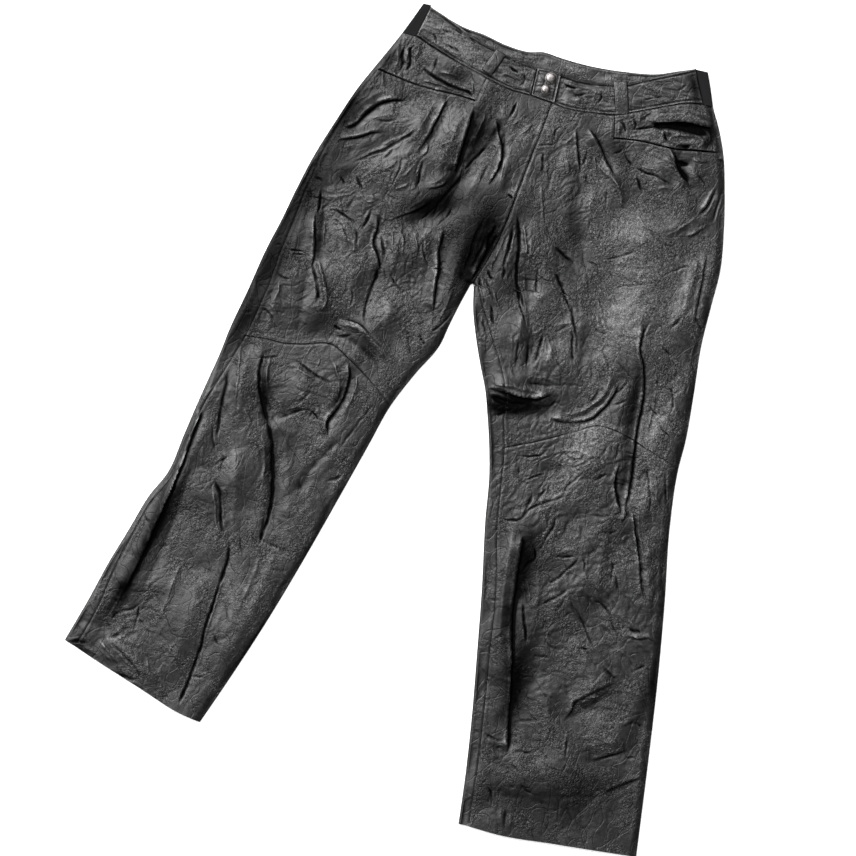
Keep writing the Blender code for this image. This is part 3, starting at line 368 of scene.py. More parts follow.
        (3.4, 2.2, -160, -66, -168, -80, -182, -90, -200, -104),
        (3.6, 2.4, -158, -74, -152, -60, -148, -44, -142, -30), (1.8, 1.2, -132, -93, -120, -84, -108, -76),
        (5, 2.4, -76, -30, -78, -46, -84, -66, -90, -84), (3.6, 2.4, -64, -66, -52, -72, -54, -88),
        (2.6, 1.4, -40, -80, -38, -100, -37, -124), (2.4, 1.8, -90, -104, -91, -114, -90, -126),
        (2.2, 1.6, -150, -180, -138, -168, -128, -156), (2.2, 1.4, -116, -186, -106, -172, -99, -158),
        (1.8, 1.2, -168, -142, -158, -130, -150, -116), (4, 2.6, -126, -138, -116, -130, -106, -118),
        (2, 1.2, -150, -140, -158, -148, -168, -156), (5, 2.2, -172, -114, -180, -126, -192, -138),
        (2.4, 1.8, -248, -192, -238, -182, -226, -174, -214, -166),
        (2, 1.4, -248, -197, -232, -196, -218, -194),
        (2.2, 1.4, -222, -166, -210, -172, -200, -178, -186, -172),
        (2, 1.2, -200, -166, -190, -172, -184, -170), (2.4, 2.2, -174, -184, -175, -200, -180, -214),
        (2.4, 1.8, -160, -204, -156, -222, -152, -244), (3, 2, -148, -204, -142, -220, -140, -240),
        (3.2, 2.2, -130, -204, -124, -222, -121, -238), (4, 1.8, -102, -192, -98, -206, -92, -222),
        (2.2, 1.4, -282, -196, -272, -192, -264, -200), (3.6, 2.2, -248, -210, -246, -230, -241, -250),
        (3, 1.8, -206, -226, -204, -240, -200, -252),
        # left thigh
        (3.2, 2.6, -248, -262, -236, -284, -226, -304, -222, -318, -228, -332),
        (4, 1, -204, -341, -188, -341, -170, -343, -150, -358, -130, -370),
        (1.8, 1.2, -300, -334, -288, -340, -278, -350), (1.8, 1.2, -126, -342, -114, -326, -104, -308),
        (2.4, 1.4, -152, -286, -140, -300, -126, -306), (3.4, 1.6, -66, -262, -70, -290, -78, -318),
        (3, 1.6, -290, -300, -286, -320, -292, -336), (2, 1.2, -214, -262, -206, -280, -204, -300),
        # left knee
        (4, 2.6, -200, -385, -190, -400, -181, -420, -180, -440),
        (2.8, 1.8, -162, -398, -160, -420, -166, -446), (2.2, 1.4, -250, -404, -228, -414, -206, -420),
        (1.8, 1.2, -238, -438, -220, -444, -204, -446),
        (3, 1.8, -276, -398, -277, -420, -272, -444, -258, -472),
        (2.2, 1.4, -246, -470, -230, -458, -212, -448), (2.6, 1.4, -318, -400, -312, -440, -308, -480),
        (2, 1, -300, -470, -284, -490, -270, -508), (2, 1, -212, -388, -216, -404, -226, -416),
        # left shin
        (3, 1.4, -404, -776, -396, -744, -390, -716),
        (3.4, 1.6, -268, -500, -258, -522, -252, -546, -250, -572),
        (2, 1.2, -334, -534, -336, -550, -330, -566),
        (3, 2, -312, -586, -304, -606, -298, -628, -286, -648),
        (2, 1.4, -398, -772, -386, -771, -374, -764), (2.2, 1.6, -410, -822, -398, -828, -386, -836),
        (2, 1.2, -350, -812, -343, -826, -336, -842), (4, 1.8, -434, -826, -420, -826, -408, -832),
        (1.6, 1.2, -196, -617, -184, -624, -174, -634), (1.6, 0.9, -302, -744, -296, -734, -290, -724),
        (6, 1.4, -330, -690, -336, -730, -340, -770), (7, 1.4, -228, -640, -236, -690, -246, -740),
        # crotch
        (3, 3, -52, -240, -46, -212, -40, -186, -34, -172),
        (2.2, 1.8, -16, -186, -20, -206, -24, -222, -22, -236),
        (2.6, 1.8, 2, -158, 10, -176, 15, -192, 14, -210), (2, 1.4, 18, -214, 24, -238, 34, -262),
        (1.8, 2, -22, -118, -17, -122, -14, -112), (1.8, 1.6, -34, -236, -27, -252, -18, -266),
        (2.2, 1.6, -16, -252, -6, -268, 4, -280), (2.4, 1.6, -24, -284, -16, -306, -6, -326),
        # right hip
        (4, 2, -12, -28, -20, -42, -30, -54), (2, 1.4, -24, -22, -34, -34, -44, -40),
        (2.6, 1.4, 15, -78, 18, -90, 24, -100), (1.8, 1, 14, -102, 22, -130, 32, -164),
        (2.4, 1.6, 72, -52, 78, -66, 84, -80),
        (3.6, 2.6, 78, -60, 88, -70, 100, -76, 112, -84, 120, -98, 124, -116),
        (4, 1.6, 84, -90, 82, -110, 84, -134), (3, 1.4, 90, -126, 96, -138, 100, -146),
        (3, 1.8, 132, -54, 150, -54, 170, -52), (2.2, 1.4, 160, -78, 172, -74, 188, -72),
        (1.8, 1, 148, -86, 156, -80, 166, -77), (1.6, 1, 152, -98, 158, -106, 164, -112),
        (3.4, 2, 196, -30, 208, -30, 222, -28), (2.4, 1.6, 238, -66, 236, -84, 228, -102),
        (1.8, 1.2, 141, -106, 148, -118, 158, -128, 170, -132, 182, -138),
        (1.8, 1.2, 182, -137, 194, -130, 206, -118, 216, -108, 224, -96),
        (1.6, 1, 47, -122, 56, -132, 64, -142), (3, 1.4, 38, -64, 44, -76, 50, -88),
        (2.2, 1.4, 34, -46, 38, -40, 40, -34),
        # right pocket
        (3.6, 2.4, 140, 18, 158, 21, 178, 24, 198, 22, 216, 20),
        (3, 3, 160, -12, 172, -5, 186, -1, 202, 0, 208, -6, 202, -15), (2, 1.6, 124, 18, 120, 6, 124, -4),
        (3.2, 1.6, 112, -20, 126, -14, 140, -8), (2.4, 1.8, 208, 14, 214, 4, 216, -8),
        (2.2, 1.4, 96, -6, 98, -16, 100, -24),
        # right thigh
        (1.6, 0.9, 150, -184, 168, -180, 190, -172), (2, 1.2, 58, -206, 72, -202, 86, -208),
        (2.4, 1.4, 70, -236, 82, -258, 92, -282), (2.2, 1.2, 104, -214, 118, -232, 132, -256),
        (1.8, 1.2, 228, -234, 220, -244, 210, -252), (2.4, 1.2, 234, -150, 236, -172, 234, -196),
        (2, 1.6, 45, -300, 56, -292, 64, -282), (2, 1.2, 70, -282, 84, -276, 98, -270),
        (1.8, 1.2, 118, -300, 132, -296, 146, -304), (1.8, 1.1, 222, -262, 236, -268, 250, -264),
        (2.4, 1.6, 70, -310, 74, -326, 72, -342), (2, 1.2, 20, -300, 26, -322, 28, -344),
        # right knee
        (3, 2.2, 214, -306, 220, -332, 222, -364, 222, -392),
        (4, 1.2, 160, -324, 156, -352, 146, -368, 130, -382, 112, -389),
        (3.4, 2.2, 12, -374, 34, -370, 56, -371, 84, -366), (2.2, 1.6, 24, -404, 38, -400, 52, -402),
        (2.2, 1.4, 154, -402, 160, -410, 166, -420), (2, 1.4, 234, -420, 246, -446, 256, -480),
        (2.2, 1.4, 168, -428, 176, -440, 186, -444), (2, 1.4, 96, -446, 114, -452, 132, -456),
        (2.2, 1.4, 60, -352, 80, -350, 104, -354),
        # right shin
        (2.4, 1.6, 110, -606, 118, -622, 124, -646), (2.2, 1.4, 100, -526, 112, -516, 126, -510),
        (1.8, 1.2, 140, -590, 152, -580, 166, -574), (2.2, 1.6, 258, -660, 272, -660, 288, -656),
        (2.6, 1.6, 232, -490, 240, -516, 250, -540, 258, -566), (2.4, 1.4, 214, -534, 222, -530, 230, -532),
        (2.6, 1.2, 154, -672, 166, -660, 182, -654), (2.4, 1.2, 236, -676, 250, -672, 268, -680),
        (1.6, 1, 106, -756, 114, -755, 122, -754), (1.8, 1.4, 112, -832, 122, -839, 128, -846),
        (2, 1.2, 104, -822, 116, -825, 126, -828), (2, 1.4, 252, -820, 266, -814, 280, -805),
        (3, 1.4, 212, -756, 224, -744, 240, -734), (2, 1.2, 207, -784, 208, -806, 210, -826),
        (2.6, 1.2, 145, -900, 148, -916, 152, -932), (2.4, 1.2, 158, -906, 162, -920, 163, -936),
        (7, 1.2, 176, -760, 182, -790, 180, -820), (1.8, 0.9, 272, -724, 286, -722, 302, -730),
    ),
    "tuck": (
        # left hip
        (8, 4.2, -252, -92, -240, -84, -226, -63, -214, -50, -200, -42, -176, -37),
        (6, 2.8, -260, -110, -246, -105, -228, -97, -212, -88, -198, -85),
        (6, 3, -152, -104, -146, -88, -141, -74, -136, -52, -131, -34, -127, -22),
        (4, 2.4, -146, -108, -139, -96, -141, -84), (8, 3.6, -98, -118, -97, -90, -95, -60, -92, -26),
        (6, 3.2, -52, -124, -44, -92, -45, -74, -52, -58, -62, -34),
        (4, 2.2, -131, -146, -120, -141, -108, -134, -101, -124),
        (5, 2.6, -168, -196, -150, -184, -132, -172, -118, -158),
        (6, 3, -162, -266, -172, -244, -182, -226, -180, -208, -183, -192),
        (7, 3.2, -84, -300, -89, -270, -92, -240, -96, -216, -95, -190),
        (6, 2.6, -250, -280, -254, -250, -260, -226, -262, -206),
        # left thigh
        (4, 2.2, -118, -371, -134, -363, -152, -352, -172, -337, -190, -334, -205, -336),
        # left knee
        (6, 3.4, -180, -488, -188, -470, -178, -448, -173, -430, -172, -410, -176, -386),
        # left shin
        (8, 4.8, -394, -744, -386, -712, -380, -684, -374, -654, -368, -622, -361, -584, -356, -548, -352,
         -512, -347, -488),
        (4, 2, -378, -834, -392, -824, -402, -816, -414, -810),
        # crotch
        (7, 5, -47, -250, -41, -226, -36, -204, -37, -186, -30, -168),
        # right hip
        (5, 2.2, 61, -82, 54, -62, 48, -44, 43, -24), (9, 3, 106, -74, 94, -62, 82, -46, 70, -32, 58, -20),
        (8, 4.4, 206, -64, 192, -56, 180, -42, 174, -30, 166, -22),
        (6, 2.6, 221, -102, 229, -86, 234, -70, 238, -54),
        (4, 2, 210, -131, 220, -126, 230, -117, 238, -108),
        # right pocket
        (10, 6.5, 132, 3, 148, 9, 162, 13, 178, 16, 194, 17, 216, 15),
        # right thigh
        (4, 2, 250, -246, 247, -220, 247, -190, 245, -160, 245, -144),
        # right knee
        (7, 3.6, 216, -492, 213, -446, 209, -412, 207, -382, 203, -330, 194, -302, 187, -288, 186, -252),
        (4, 2.6, 214, -502, 200, -478, 194, -458, 196, -432),
        (8, 3, 92, -399, 122, -397, 144, -388, 156, -374, 165, -358, 172, -334),
        (7, 3.6, 6, -379, 30, -378, 52, -380, 72, -377, 92, -366),
        # right shin
        (9, 4.6, 138, -836, 132, -806, 127, -774, 122, -746, 116, -716, 110, -690, 104, -658, 100, -626,
         97, -590, 94, -552),
        (4, 2.4, 254, -652, 268, -652, 284, -648, 297, -650),
        (5, 3.2, 266, -602, 258, -584, 251, -560, 243, -540, 236, -522, 226, -490),
        (4, 2.2, 210, -512, 216, -506, 216, -486), (5, 3, 243, -821, 258, -813, 272, -805, 290, -795),
        (4, 2, 270, -857, 286, -845, 302, -834, 318, -824),
        (5, 2.2, 198, -778, 206, -764, 208, -750, 218, -742, 234, -728, 256, -712),
    ),
}

# Crumpling by place: x, y, reach, height, wave length, direction in degrees, how long the waves are
crumples = (
    (-210, -60, 60, 1, 15, 35, 1.8), (-170, -120, 60, 0.9, 14, 60, 1.6), (-110, -90, 50, 1, 14, 80, 2),
    (-240, -190, 50, 1.2, 12, 20, 1.4), (-180, -180, 45, 1, 11, -20, 1.5),
    (-150, -230, 55, 1.2, 13, 95, 2.2), (-230, -290, 60, 0.8, 17, 75, 1.6),
    (-130, -290, 55, 1.2, 12, 40, 1.4), (-80, -230, 50, 0.8, 14, 95, 2), (-280, -330, 50, 1, 12, 10, 1.5),
    (-220, -430, 70, 1, 16, 20, 1.4), (-140, -440, 60, 0.6, 16, 70, 1.8),
    (-300, -480, 60, 0.8, 15, 80, 1.8), (-200, -540, 80, 0.6, 15, 75, 1.5),
    (-330, -600, 70, 0.8, 14, 20, 1.5), (-215, -650, 70, 0.9, 14, 10, 1.4),
    (-380, -770, 50, 1.4, 13, 15, 1.4), (-300, -760, 80, 0.5, 18, 80, 1.8),
    (-360, -835, 60, 1.1, 12, -30, 1.7), (-240, -790, 70, 0.5, 16, 60, 1.4),
    (20, -60, 50, 1.1, 12, 80, 1.5), (50, -110, 50, 1, 13, 60, 1.4), (90, -120, 40, 1.1, 10, 80, 1.4),
    (150, -50, 50, 1, 12, 0, 1.5), (210, -60, 40, 0.9, 13, -40, 1.5), (170, -110, 60, 0.35, 18, 10, 1.4),
    (170, -190, 70, 0.45, 13, 25, 2.2), (235, -180, 50, 0.9, 12, 85, 2.4), (50, -210, 60, 1, 12, -30, 1.7),
    (110, -240, 60, 0.9, 12, -60, 1.8), (180, -270, 70, 0.8, 13, 20, 1.3), (40, -310, 50, 1.3, 12, 85, 1.6),
    (100, -320, 60, 1.3, 13, 70, 1.4), (240, -320, 60, 1.1, 14, 80, 1.6), (60, -370, 50, 1.3, 12, 0, 1.5),
    (150, -360, 60, 0.9, 15, 60, 1.5), (60, -430, 50, 1.2, 12, 40, 1.5), (120, -450, 60, 1.6, 13, 60, 1.4),
    (180, -450, 60, 1.8, 13, 30, 1.2), (250, -440, 50, 1.4, 13, 70, 1.6), (90, -510, 50, 1.4, 13, 60, 1.5),
    (150, -540, 60, 1.5, 15, 50, 1.3), (220, -540, 60, 1.5, 14, 20, 1.3), (160, -620, 60, 1.4, 15, 45, 1.4),
    (230, -620, 60, 1.5, 15, -20, 1.4), (280, -600, 50, 1.3, 13, 80, 1.6),
    (180, -690, 60, 1.2, 15, 10, 1.5), (260, -690, 60, 1.4, 15, -20, 1.4), (170, -760, 60, 1, 16, 10, 1.5),
    (260, -760, 60, 1.1, 14, 20, 1.6), (190, -840, 60, 0.8, 15, 0, 1.4), (280, -850, 60, 0.9, 14, 30, 1.5),
    (150, -905, 60, 0.8, 15, 85, 1.5), (260, -910, 60, 0.6, 16, 10, 1.4), (120, -820, 40, 1, 12, 0, 1.6),
    (70, -640, 60, 0.35, 10, 0, 1.6), (-150, 10, 45, 0.9, 11, 0, 1.6), (-200, 10, 40, 1.2, 10, 85, 2),
    (160, 5, 50, 1, 11, 15, 1.8), (110, -10, 35, 1, 10, 40, 1.4), (-60, -40, 40, 0.8, 13, 80, 2),
    (-20, -80, 40, 0.5, 14, 80, 1.6), (-10, -200, 45, 1.4, 10, 80, 2.2), (-60, -340, 45, 0.9, 12, 40, 1.5),
)
# Broad swells, whose middle tilts towards the key light, or away from it where the amount is below 0. The
# amount also paints the
# colour: a painted highlight where it is above 0 and a painted shade where it is below.
# Columns: x, y, reach along, reach across, direction of the long way in degrees, amount
swells = (
    (-157, -32, 28, 16, 70, 0.4), (-174, -100, 30, 22, 75, 0.4), (-192, -167, 32, 15, 20, 0.4),
    (-220, -247, 42, 24, 80, 0.7), (-158, -297, 46, 20, 10, 0.6), (-120, -364, 20, 18, 0, 0.6),
    (-301, -532, 40, 30, 70, 0.25), (-190, -493, 34, 24, 60, 0.5), (-290, -707, 80, 34, 78, 0.4),
    (-218, -660, 40, 18, 70, 0.5), (-245, -746, 34, 16, 75, 0.5), (-290, -846, 26, 16, 0, 0.3),
    (-243, -66, 50, 16, 68, -0.9), (-272, -170, 70, 17, 70, -1), (-300, -290, 60, 20, 76, -1),
    (-316, -372, 40, 16, 80, -0.7), (-436, -820, 24, 18, 70, -0.7), (-127, 44, 32, 12, -28, 1.6),
    (-166, 66, 16, 12, -30, 0.7), (-74, -60, 34, 10, 72, -0.9), (-131, -176, 46, 14, 30, -0.7),
    (-237, -148, 18, 12, 60, -0.8), (-252, -232, 44, 7, 103, -0.9), (-187, -213, 22, 7, 75, -0.9),
    (-168, -256, 24, 6, 100, -0.8), (-175, -126, 20, 12, 60, 1), (-185, -56, 22, 12, 60, 0.7),
    (-116, -212, 16, 6, 100, 0.8), (-57, -24, 10, 5, -60, 1), (-20, -123, 8, 5, 0, 1.2),
    (75, -162, 34, 12, 103, -0.7), (112, -290, 30, 8, 100, -0.6), (60, -357, 40, 8, 13, -0.7),
    (30, -402, 30, 10, 5, -0.9), (41, -243, 8, 8, 0, 0.9), (243, -345, 40, 14, 98, 1),
    (141, -300, 24, 18, 0, 0.6), (98, -660, 40, 12, 98, -1), (181, 62, 26, 8, 111, -1.3),
    (-20, -22, 10, 20, 60, -0.5), (-214, 12, 24, 14, 75, -0.7), (-60, 34, 16, 12, 0, -0.3),
    (17, 29, 10, 8, 0, -0.6), (-22, -50, 15, 10, 60, 1.7), (68, 46, 14, 5, -10, 1.1),
    (22, 49, 10, 6, -40, 1.1), (-14, 52, 6, 5, 0, 1.2), (81, -13, 8, 12, -60, 1), (97, 7, 10, 2.5, 8, 1.6),
    (-59, -52, 22, 5, 75, -1.1), (171, 25, 26, 7, 8, 0.9), (187, -8, 14, 4, 8, 1),
    (187, -17, 14, 4, 8, -1.2), (214, -4, 13, 6, 80, -1.3), (134, -12, 16, 8, 10, 0.7),
    (160, -5, 12, 4, 80, -0.9), (185, -44, 28, 7, -50, -1.2), (190, -36, 10, 5, 10, -1),
    (-225, -342, 30, 22, 30, -0.9), (-121, 8, 16, 9, -20, -0.8), (-87, -46, 42, 12, 80, -1),
    (-98, -122, 42, 18, 75, -1), (-140, -168, 50, 14, 8, -0.5), (-122, -238, 30, 14, 80, -0.5),
    (-44, -168, 44, 26, 75, -1.2), (-58, -226, 40, 20, 70, -1.1), (-84, -200, 30, 20, 70, -0.5),
    (-274, -448, 46, 9, 108, -1.1), (-176, -424, 44, 7, 80, -1.1), (-372, -652, 90, 10, 76, -1.5),
    (-396, -745, 40, 12, 75, -0.9), (-246, -530, 46, 8, 106, -1), (-236, -592, 40, 9, 92, -0.7),
    (-262, -800, 60, 12, 80, -0.3), (-340, -800, 50, 26, 20, -0.2), (-2, -36, 26, 18, 80, 0.5),
    (35, -68, 20, 14, 60, 1.1), (124, -18, 22, 12, 10, 0.7), (152, -54, 30, 12, -60, 1),
    (92, -106, 32, 20, -80, 0.9), (140, -138, 46, 36, 20, 1.6), (160, -214, 64, 44, 60, 1.6),
    (232, -184, 46, 18, 85, 0.9), (150, -262, 50, 36, -80, 1.1), (96, -140, 20, 14, -80, 0.4),
    (214, -250, 50, 22, 80, 1), (88, -308, 30, 22, 80, 0.9), (146, -416, 44, 30, -80, 2),
    (231, -384, 40, 14, 92, 2), (240, -450, 40, 13, 85, 1.7), (124, -500, 34, 24, 60, 0.6),
    (222, -560, 30, 20, 80, 0.5), (148, -556, 30, 20, 60, 0.4), (190, -690, 40, 20, 10, 0.3),
    (70, -600, 60, 9, 82, 0.3), (224, -770, 36, 18, 20, 0.3), (104, -40, 30, 13, -50, -0.8),
    (188, 11, 34, 8, 2, -1.6), (60, -118, 50, 11, -80, -0.7), (0, -132, 30, 16, 80, -0.4),
    (6, -236, 40, 22, 80, -0.8), (62, -206, 30, 16, -60, -0.4), (50, -391, 44, 13, 5, -1.5),
    (146, -360, 22, 14, 60, -0.6), (196, -350, 64, 9, 97, -1.3), (206, -444, 44, 10, 88, -0.9),
    (106, -586, 56, 20, 98, -1.4), (127, -736, 70, 22, 98, -1.4), (250, -852, 60, 26, 10, -0.5),
    (220, -890, 100, 44, 5, -0.55), (-250, -55, 60, 9, 70, -0.6), (-284, -160, 70, 9, 73, -0.5),
    (-306, -260, 70, 12, 76, -0.5), (-328, -370, 60, 12, 82, -0.6), (-112, -158, 46, 22, 20, -0.5),
    (-50, -255, 30, 16, 60, -0.4), (-28, -200, 44, 16, 70, -0.4), (140, -884, 40, 24, 0, -0.4),
    (-440, -828, 20, 10, 0, -0.6), (300, -714, 60, 14, 84, -0.9), (186, -622, 36, 22, 0, -0.3),
    (186, -750, 30, 14, 10, -0.3),
)
# Thin wrinkles on the underside: x and y of the start and the end, and the width
undersideFolds = (
    (-150, -60, -60, -90, 8), (-60, -130, -200, -180, 9), (40, -80, 150, -60, 8), (60, -180, 200, -150, 9),
    (-240, -260, -120, -330, 9), (60, -330, 200, -300, 9), (-280, -440, -170, -420, 8),
    (-270, -460, -180, -500, 8), (80, -450, 220, -430, 9), (70, -480, 200, -510, 8),
    (-330, -620, -220, -600, 9), (120, -640, 240, -660, 9), (-380, -760, -300, -800, 8),
    (140, -780, 260, -760, 8), (-100, -220, -60, -300, 7), (0, -260, 60, -330, 7),
)
print("tables read:", sum(len(rows) for rows in creases.values()), "creases")


def smooth(t):
    # 0 below 0, 1 above 1, and 3 t squared less 2 t cubed between them
    t = np.clip(t, 0.0, 1.0)
    return t * t * (3.0 - 2.0 * t)


def bell(t):
    return np.exp(-t * t)


def reachAlong(rows):
    return np.concatenate([[0.0], np.cumsum(np.hypot(*np.diff(rows[:, :2], axis=0).T))])


def curveAt(rows, spots):
    # a cubic through the rows, whose slopes are those of the rows on both sides; spots count rows from 0
    rows = np.asarray(rows, float)
    reach = reachAlong(rows)
    slope = np.gradient(rows, reach, axis=0)
    first = np.clip(np.floor(spots).astype(int), 0, len(rows) - 2)
    span = (reach[first + 1] - reach[first])[:, None]
    t = (np.asarray(spots) - first)[:, None]
    return (
        (2 * t**3 - 3 * t**2 + 1) * rows[first]
        + (t**3 - 2 * t**2 + t) * span * slope[first]
        + (3 * t**2 - 2 * t**3) * rows[first + 1]
        + (t**3 - t**2) * span * slope[first + 1]
    )


def across(rows, parts):
    # the same curve, read at parts of its length from 0 to 1
    rows = np.asarray(rows, float)
    reach = reachAlong(rows)
    return curveAt(rows, np.interp(np.asarray(parts) * reach[-1], reach, np.arange(len(rows))))


def evenly(rows, count):
    return across(rows, np.linspace(0, 1, count))


def down(table, steps):
    # an outline with so many steps between one station and the next
    marks = np.cumsum([0] + [len(rows) for rows in table.values()])
    spots = [np.zeros(1)]
    for first, last, count in zip(marks, marks[1:], steps):
        spots.append(np.linspace(first, last, count + 1)[1:])
    return curveAt([row for rows in table.values() for row in rows], np.concatenate(spots))


def coons(top, bottom, left, right, parts):
    # the Coons patch between four lines, a row for each point of left and a column for each part
    v = np.linspace(0.0, 1.0, len(left))[:, None, None]
    u = parts[None, :, None]
    corners = (1 - v) * ((1 - u) * top[0] + u * top[-1]) + v * ((1 - u) * bottom[0] + u * bottom[-1])
    return (1 - v) * top + v * bottom + (1 - u) * left[:, None] + u * right[:, None] - corners


def ended(line, first, last):
    line = line.copy()
    line[0], line[-1] = first, last
    return line


def fromLine(points, line):
    # signed distance to a line, + on its left, the way along it from 0 to 1, and the line's left there
    start, run = line[:-1], np.diff(line, axis=0)
    length = np.hypot(*run.T)
    away = points[:, None, :] - start
    part = np.clip((away * run).sum(-1) / (length * length), 0.0, 1.0)
    gap = away - part[..., None] * run
    square = (gap * gap).sum(-1)
    nearest = square.argmin(-1)
    rows = np.arange(len(points))
    left = np.stack([-run[:, 1], run[:, 0]], axis=-1) / length[:, None]
    side = np.sign((away[rows, nearest] * left[nearest]).sum(-1))
    along = (np.concatenate([[0.0], np.cumsum(length)[:-1]])[nearest] + part[rows, nearest] * length[nearest])
    return side * np.sqrt(square[rows, nearest]), along / length.sum(), left[nearest]


def nearTo(points, line, reach):
    return ((points > line.min(0) - reach) & (points < line.max(0) + reach)).all(-1)


def distanceTo(points, line):
    start, run = line[:-1], np.diff(line, axis=0)
    flat = points.reshape(-1, 2)
    best = np.full(len(flat), 1e9)
    for s, r in zip(start, run):
        away = flat - s
        part = np.clip(away @ r / (r @ r), 0.0, 1.0)
        best = np.minimum(best, ((away - part[:, None] * r) ** 2).sum(-1))
    return np.sqrt(best).reshape(points.shape[:-1])


latticeSide = 128
lattice = np.random.default_rng(7).uniform(0, 2 * np.pi, (latticeSide, latticeSide))


def noise(x, y):
    # gradient noise: at each whole place a slope in a random direction, blended between the four corners
    columns, rows = np.floor(x).astype(int), np.floor(y).astype(int)
    s, t = x - columns, y - rows
    corner = []
    for i in (0, 1):
        for j in (0, 1):
            angle = lattice[(rows + j) % latticeSide, (columns + i) % latticeSide]
            corner.append(np.cos(angle) * (s - i) + np.sin(angle) * (t - j))
    s, t = s**3 * (s * (6 * s - 15) + 10), t**3 * (t * (6 * t - 15) + 10)
    low = corner[0] + t * (corner[1] - corner[0])
    high = corner[2] + t * (corner[3] - corner[2])
    return 1.5 * (low + s * (high - low))


relief = {
    "ridgeShare": 0.35,     # how much of the solids' soft ridges and troughs is kept as such
    "troughShare": 0.75,
    "tuckDrop": 0.45,       # share of a tuck's height that its low side sinks
    "tuckEdge": 1.5,        # half width of the edge of a tuck
    "lean": 0.3,            # how far a tuck leans over, as a share of its height
    "troughRim": 0.15,      # height of the bulges beside a trough, as a share of its depth
    "sharpness": 0.3,       # rounding at the bottom of a trough
    "taper": 15.0,          # length over which a crease comes up at either end
    "taperMost": 0.38,      # and the most that this takes of its length
    "unevenness": 0.8,      # change in the depth of a crease along its way
    "tuckCalm": 0.4,        # share of the changes and of the straying that a tuck has
    "swing": 0.6,           # slow change in the height of a tuck along its way
    "wander": 1.1,          # how far a crease strays from its line
    "creases": 1.15,        # share of the depths in the table
    "ridges": 0.6,          # and of the heights of ridges
    "narrow": 0.55,         # share of their widths that troughs and ridges keep
    "tuckNarrow": 0.9,      # and tucks
    "crumple": 0.62,        # share of the heights of the crumpling by place
    "hills": 0.5,           # share of it that is facets and not short creases
    "puff": 1.0,            # how far the leather stands off between the edges
    "facets": ((1.8, 38, 40), (0.4, 21, 60), (0.15, 11, 80)),    # everywhere: height, size and shift
    "lines": 0.36,          # depth of the fine creases, which are everywhere
    "lineSize": 14,
    "linePatch": 48,        # size of the patches where they are deep or faint
    "warp": 5,              # how far the crumpling is warped, and over what size
    "warpSize": 23,
    "wanderSize": 11, "unevenSize": 17, "swingSize": 34,
    "tilt": 0.09,           # slope of a swell of amount 1, and the direction that the light comes from
    "lightTurn": 140.0,
    "crestReach": (4, 12),  # vertices over which the leather is compared with its near and far surroundings
}


def facets(u, v):
    # random heights at the corners of a net of triangles with sides of 1, and flat between them
    u, v = u - v / math.sqrt(3), v * 2 / math.sqrt(3)
    column, row = np.floor(u).astype(int), np.floor(v).astype(int)
    s, t = u - column, v - row

    def corner(i, j):
        return lattice[(row + j) % latticeSide, (column + i) % latticeSide] / np.pi - 1

    first, last, right, up = corner(0, 0), corner(1, 1), corner(1, 0), corner(0, 1)
    near = first + s * (right - first) + t * (up - first)
    far = last + (1 - s) * (up - last) + (1 - t) * (right - last)
    return np.where(s + t < 1, near, far)


def nicks(u, v, spread):
    # one short bowed crease in each cell of 1 by 1: 1 on its line, less to both sides and towards its ends,
    # with a low lip along one side
    column, row = np.floor(u).astype(int), np.floor(v).astype(int)
    depth, lip = np.zeros(u.shape), np.zeros(u.shape)
    for i in (-1, 0, 1):
        for j in (-1, 0, 1):
            first, second, third = (
                lattice[(row + j + down) % latticeSide, (column + i + over) % latticeSide] / np.pi - 1
                for down, over in ((0, 0), (37, 11), (71, 53))
            )
            away, up = u - column - i - 0.5 - 0.45 * first, v - row - j - 0.5 - 0.45 * second
            turn = spread * third
            along = away * np.cos(turn) + up * np.sin(turn)
            beside = up * np.cos(turn) - away * np.sin(turn) + 0.35 * second * along**2
            ends = np.clip(1 - (along / (0.75 + 0.3 * first)) ** 2, 0, 1) * (0.7 + 0.3 * second)
            depth = np.maximum(depth, ends * np.exp(-np.abs(beside) / 0.09))
            lip = np.maximum(lip, ends * bell((beside - 0.24) / 0.13))
    return depth - 0.3 * lip


def foldHeight(points):
    # each fold falls off as e to the minus distance on both sides of its bowed line, and to both ends
    height = np.zeros(len(points))
    for rows in folds.values():
        for x0, y0, x1, y1, bow, halfWidth, rise in rows:
            start = np.array([x0, y0], float)
            run = np.array([x1, y1]) - start
            length = np.hypot(*run)
            along = run / length
            part = (points - start) @ along / length
            side = (points - start) @ np.array([-along[1], along[0]])
            inside = np.clip(part, 0.0, 1.0)
            ends = np.sin(np.pi * inside)
            off = (side - bow * 4 * inside * (1 - inside)) / (halfWidth * (0.5 + 0.5 * ends))
            share = relief["troughShare"] if rise < 0 else relief["ridgeShare"]
            height += rise * share * np.exp(0.2 - 1.2 * np.sqrt(off * off + 0.03)) * ends
    return height


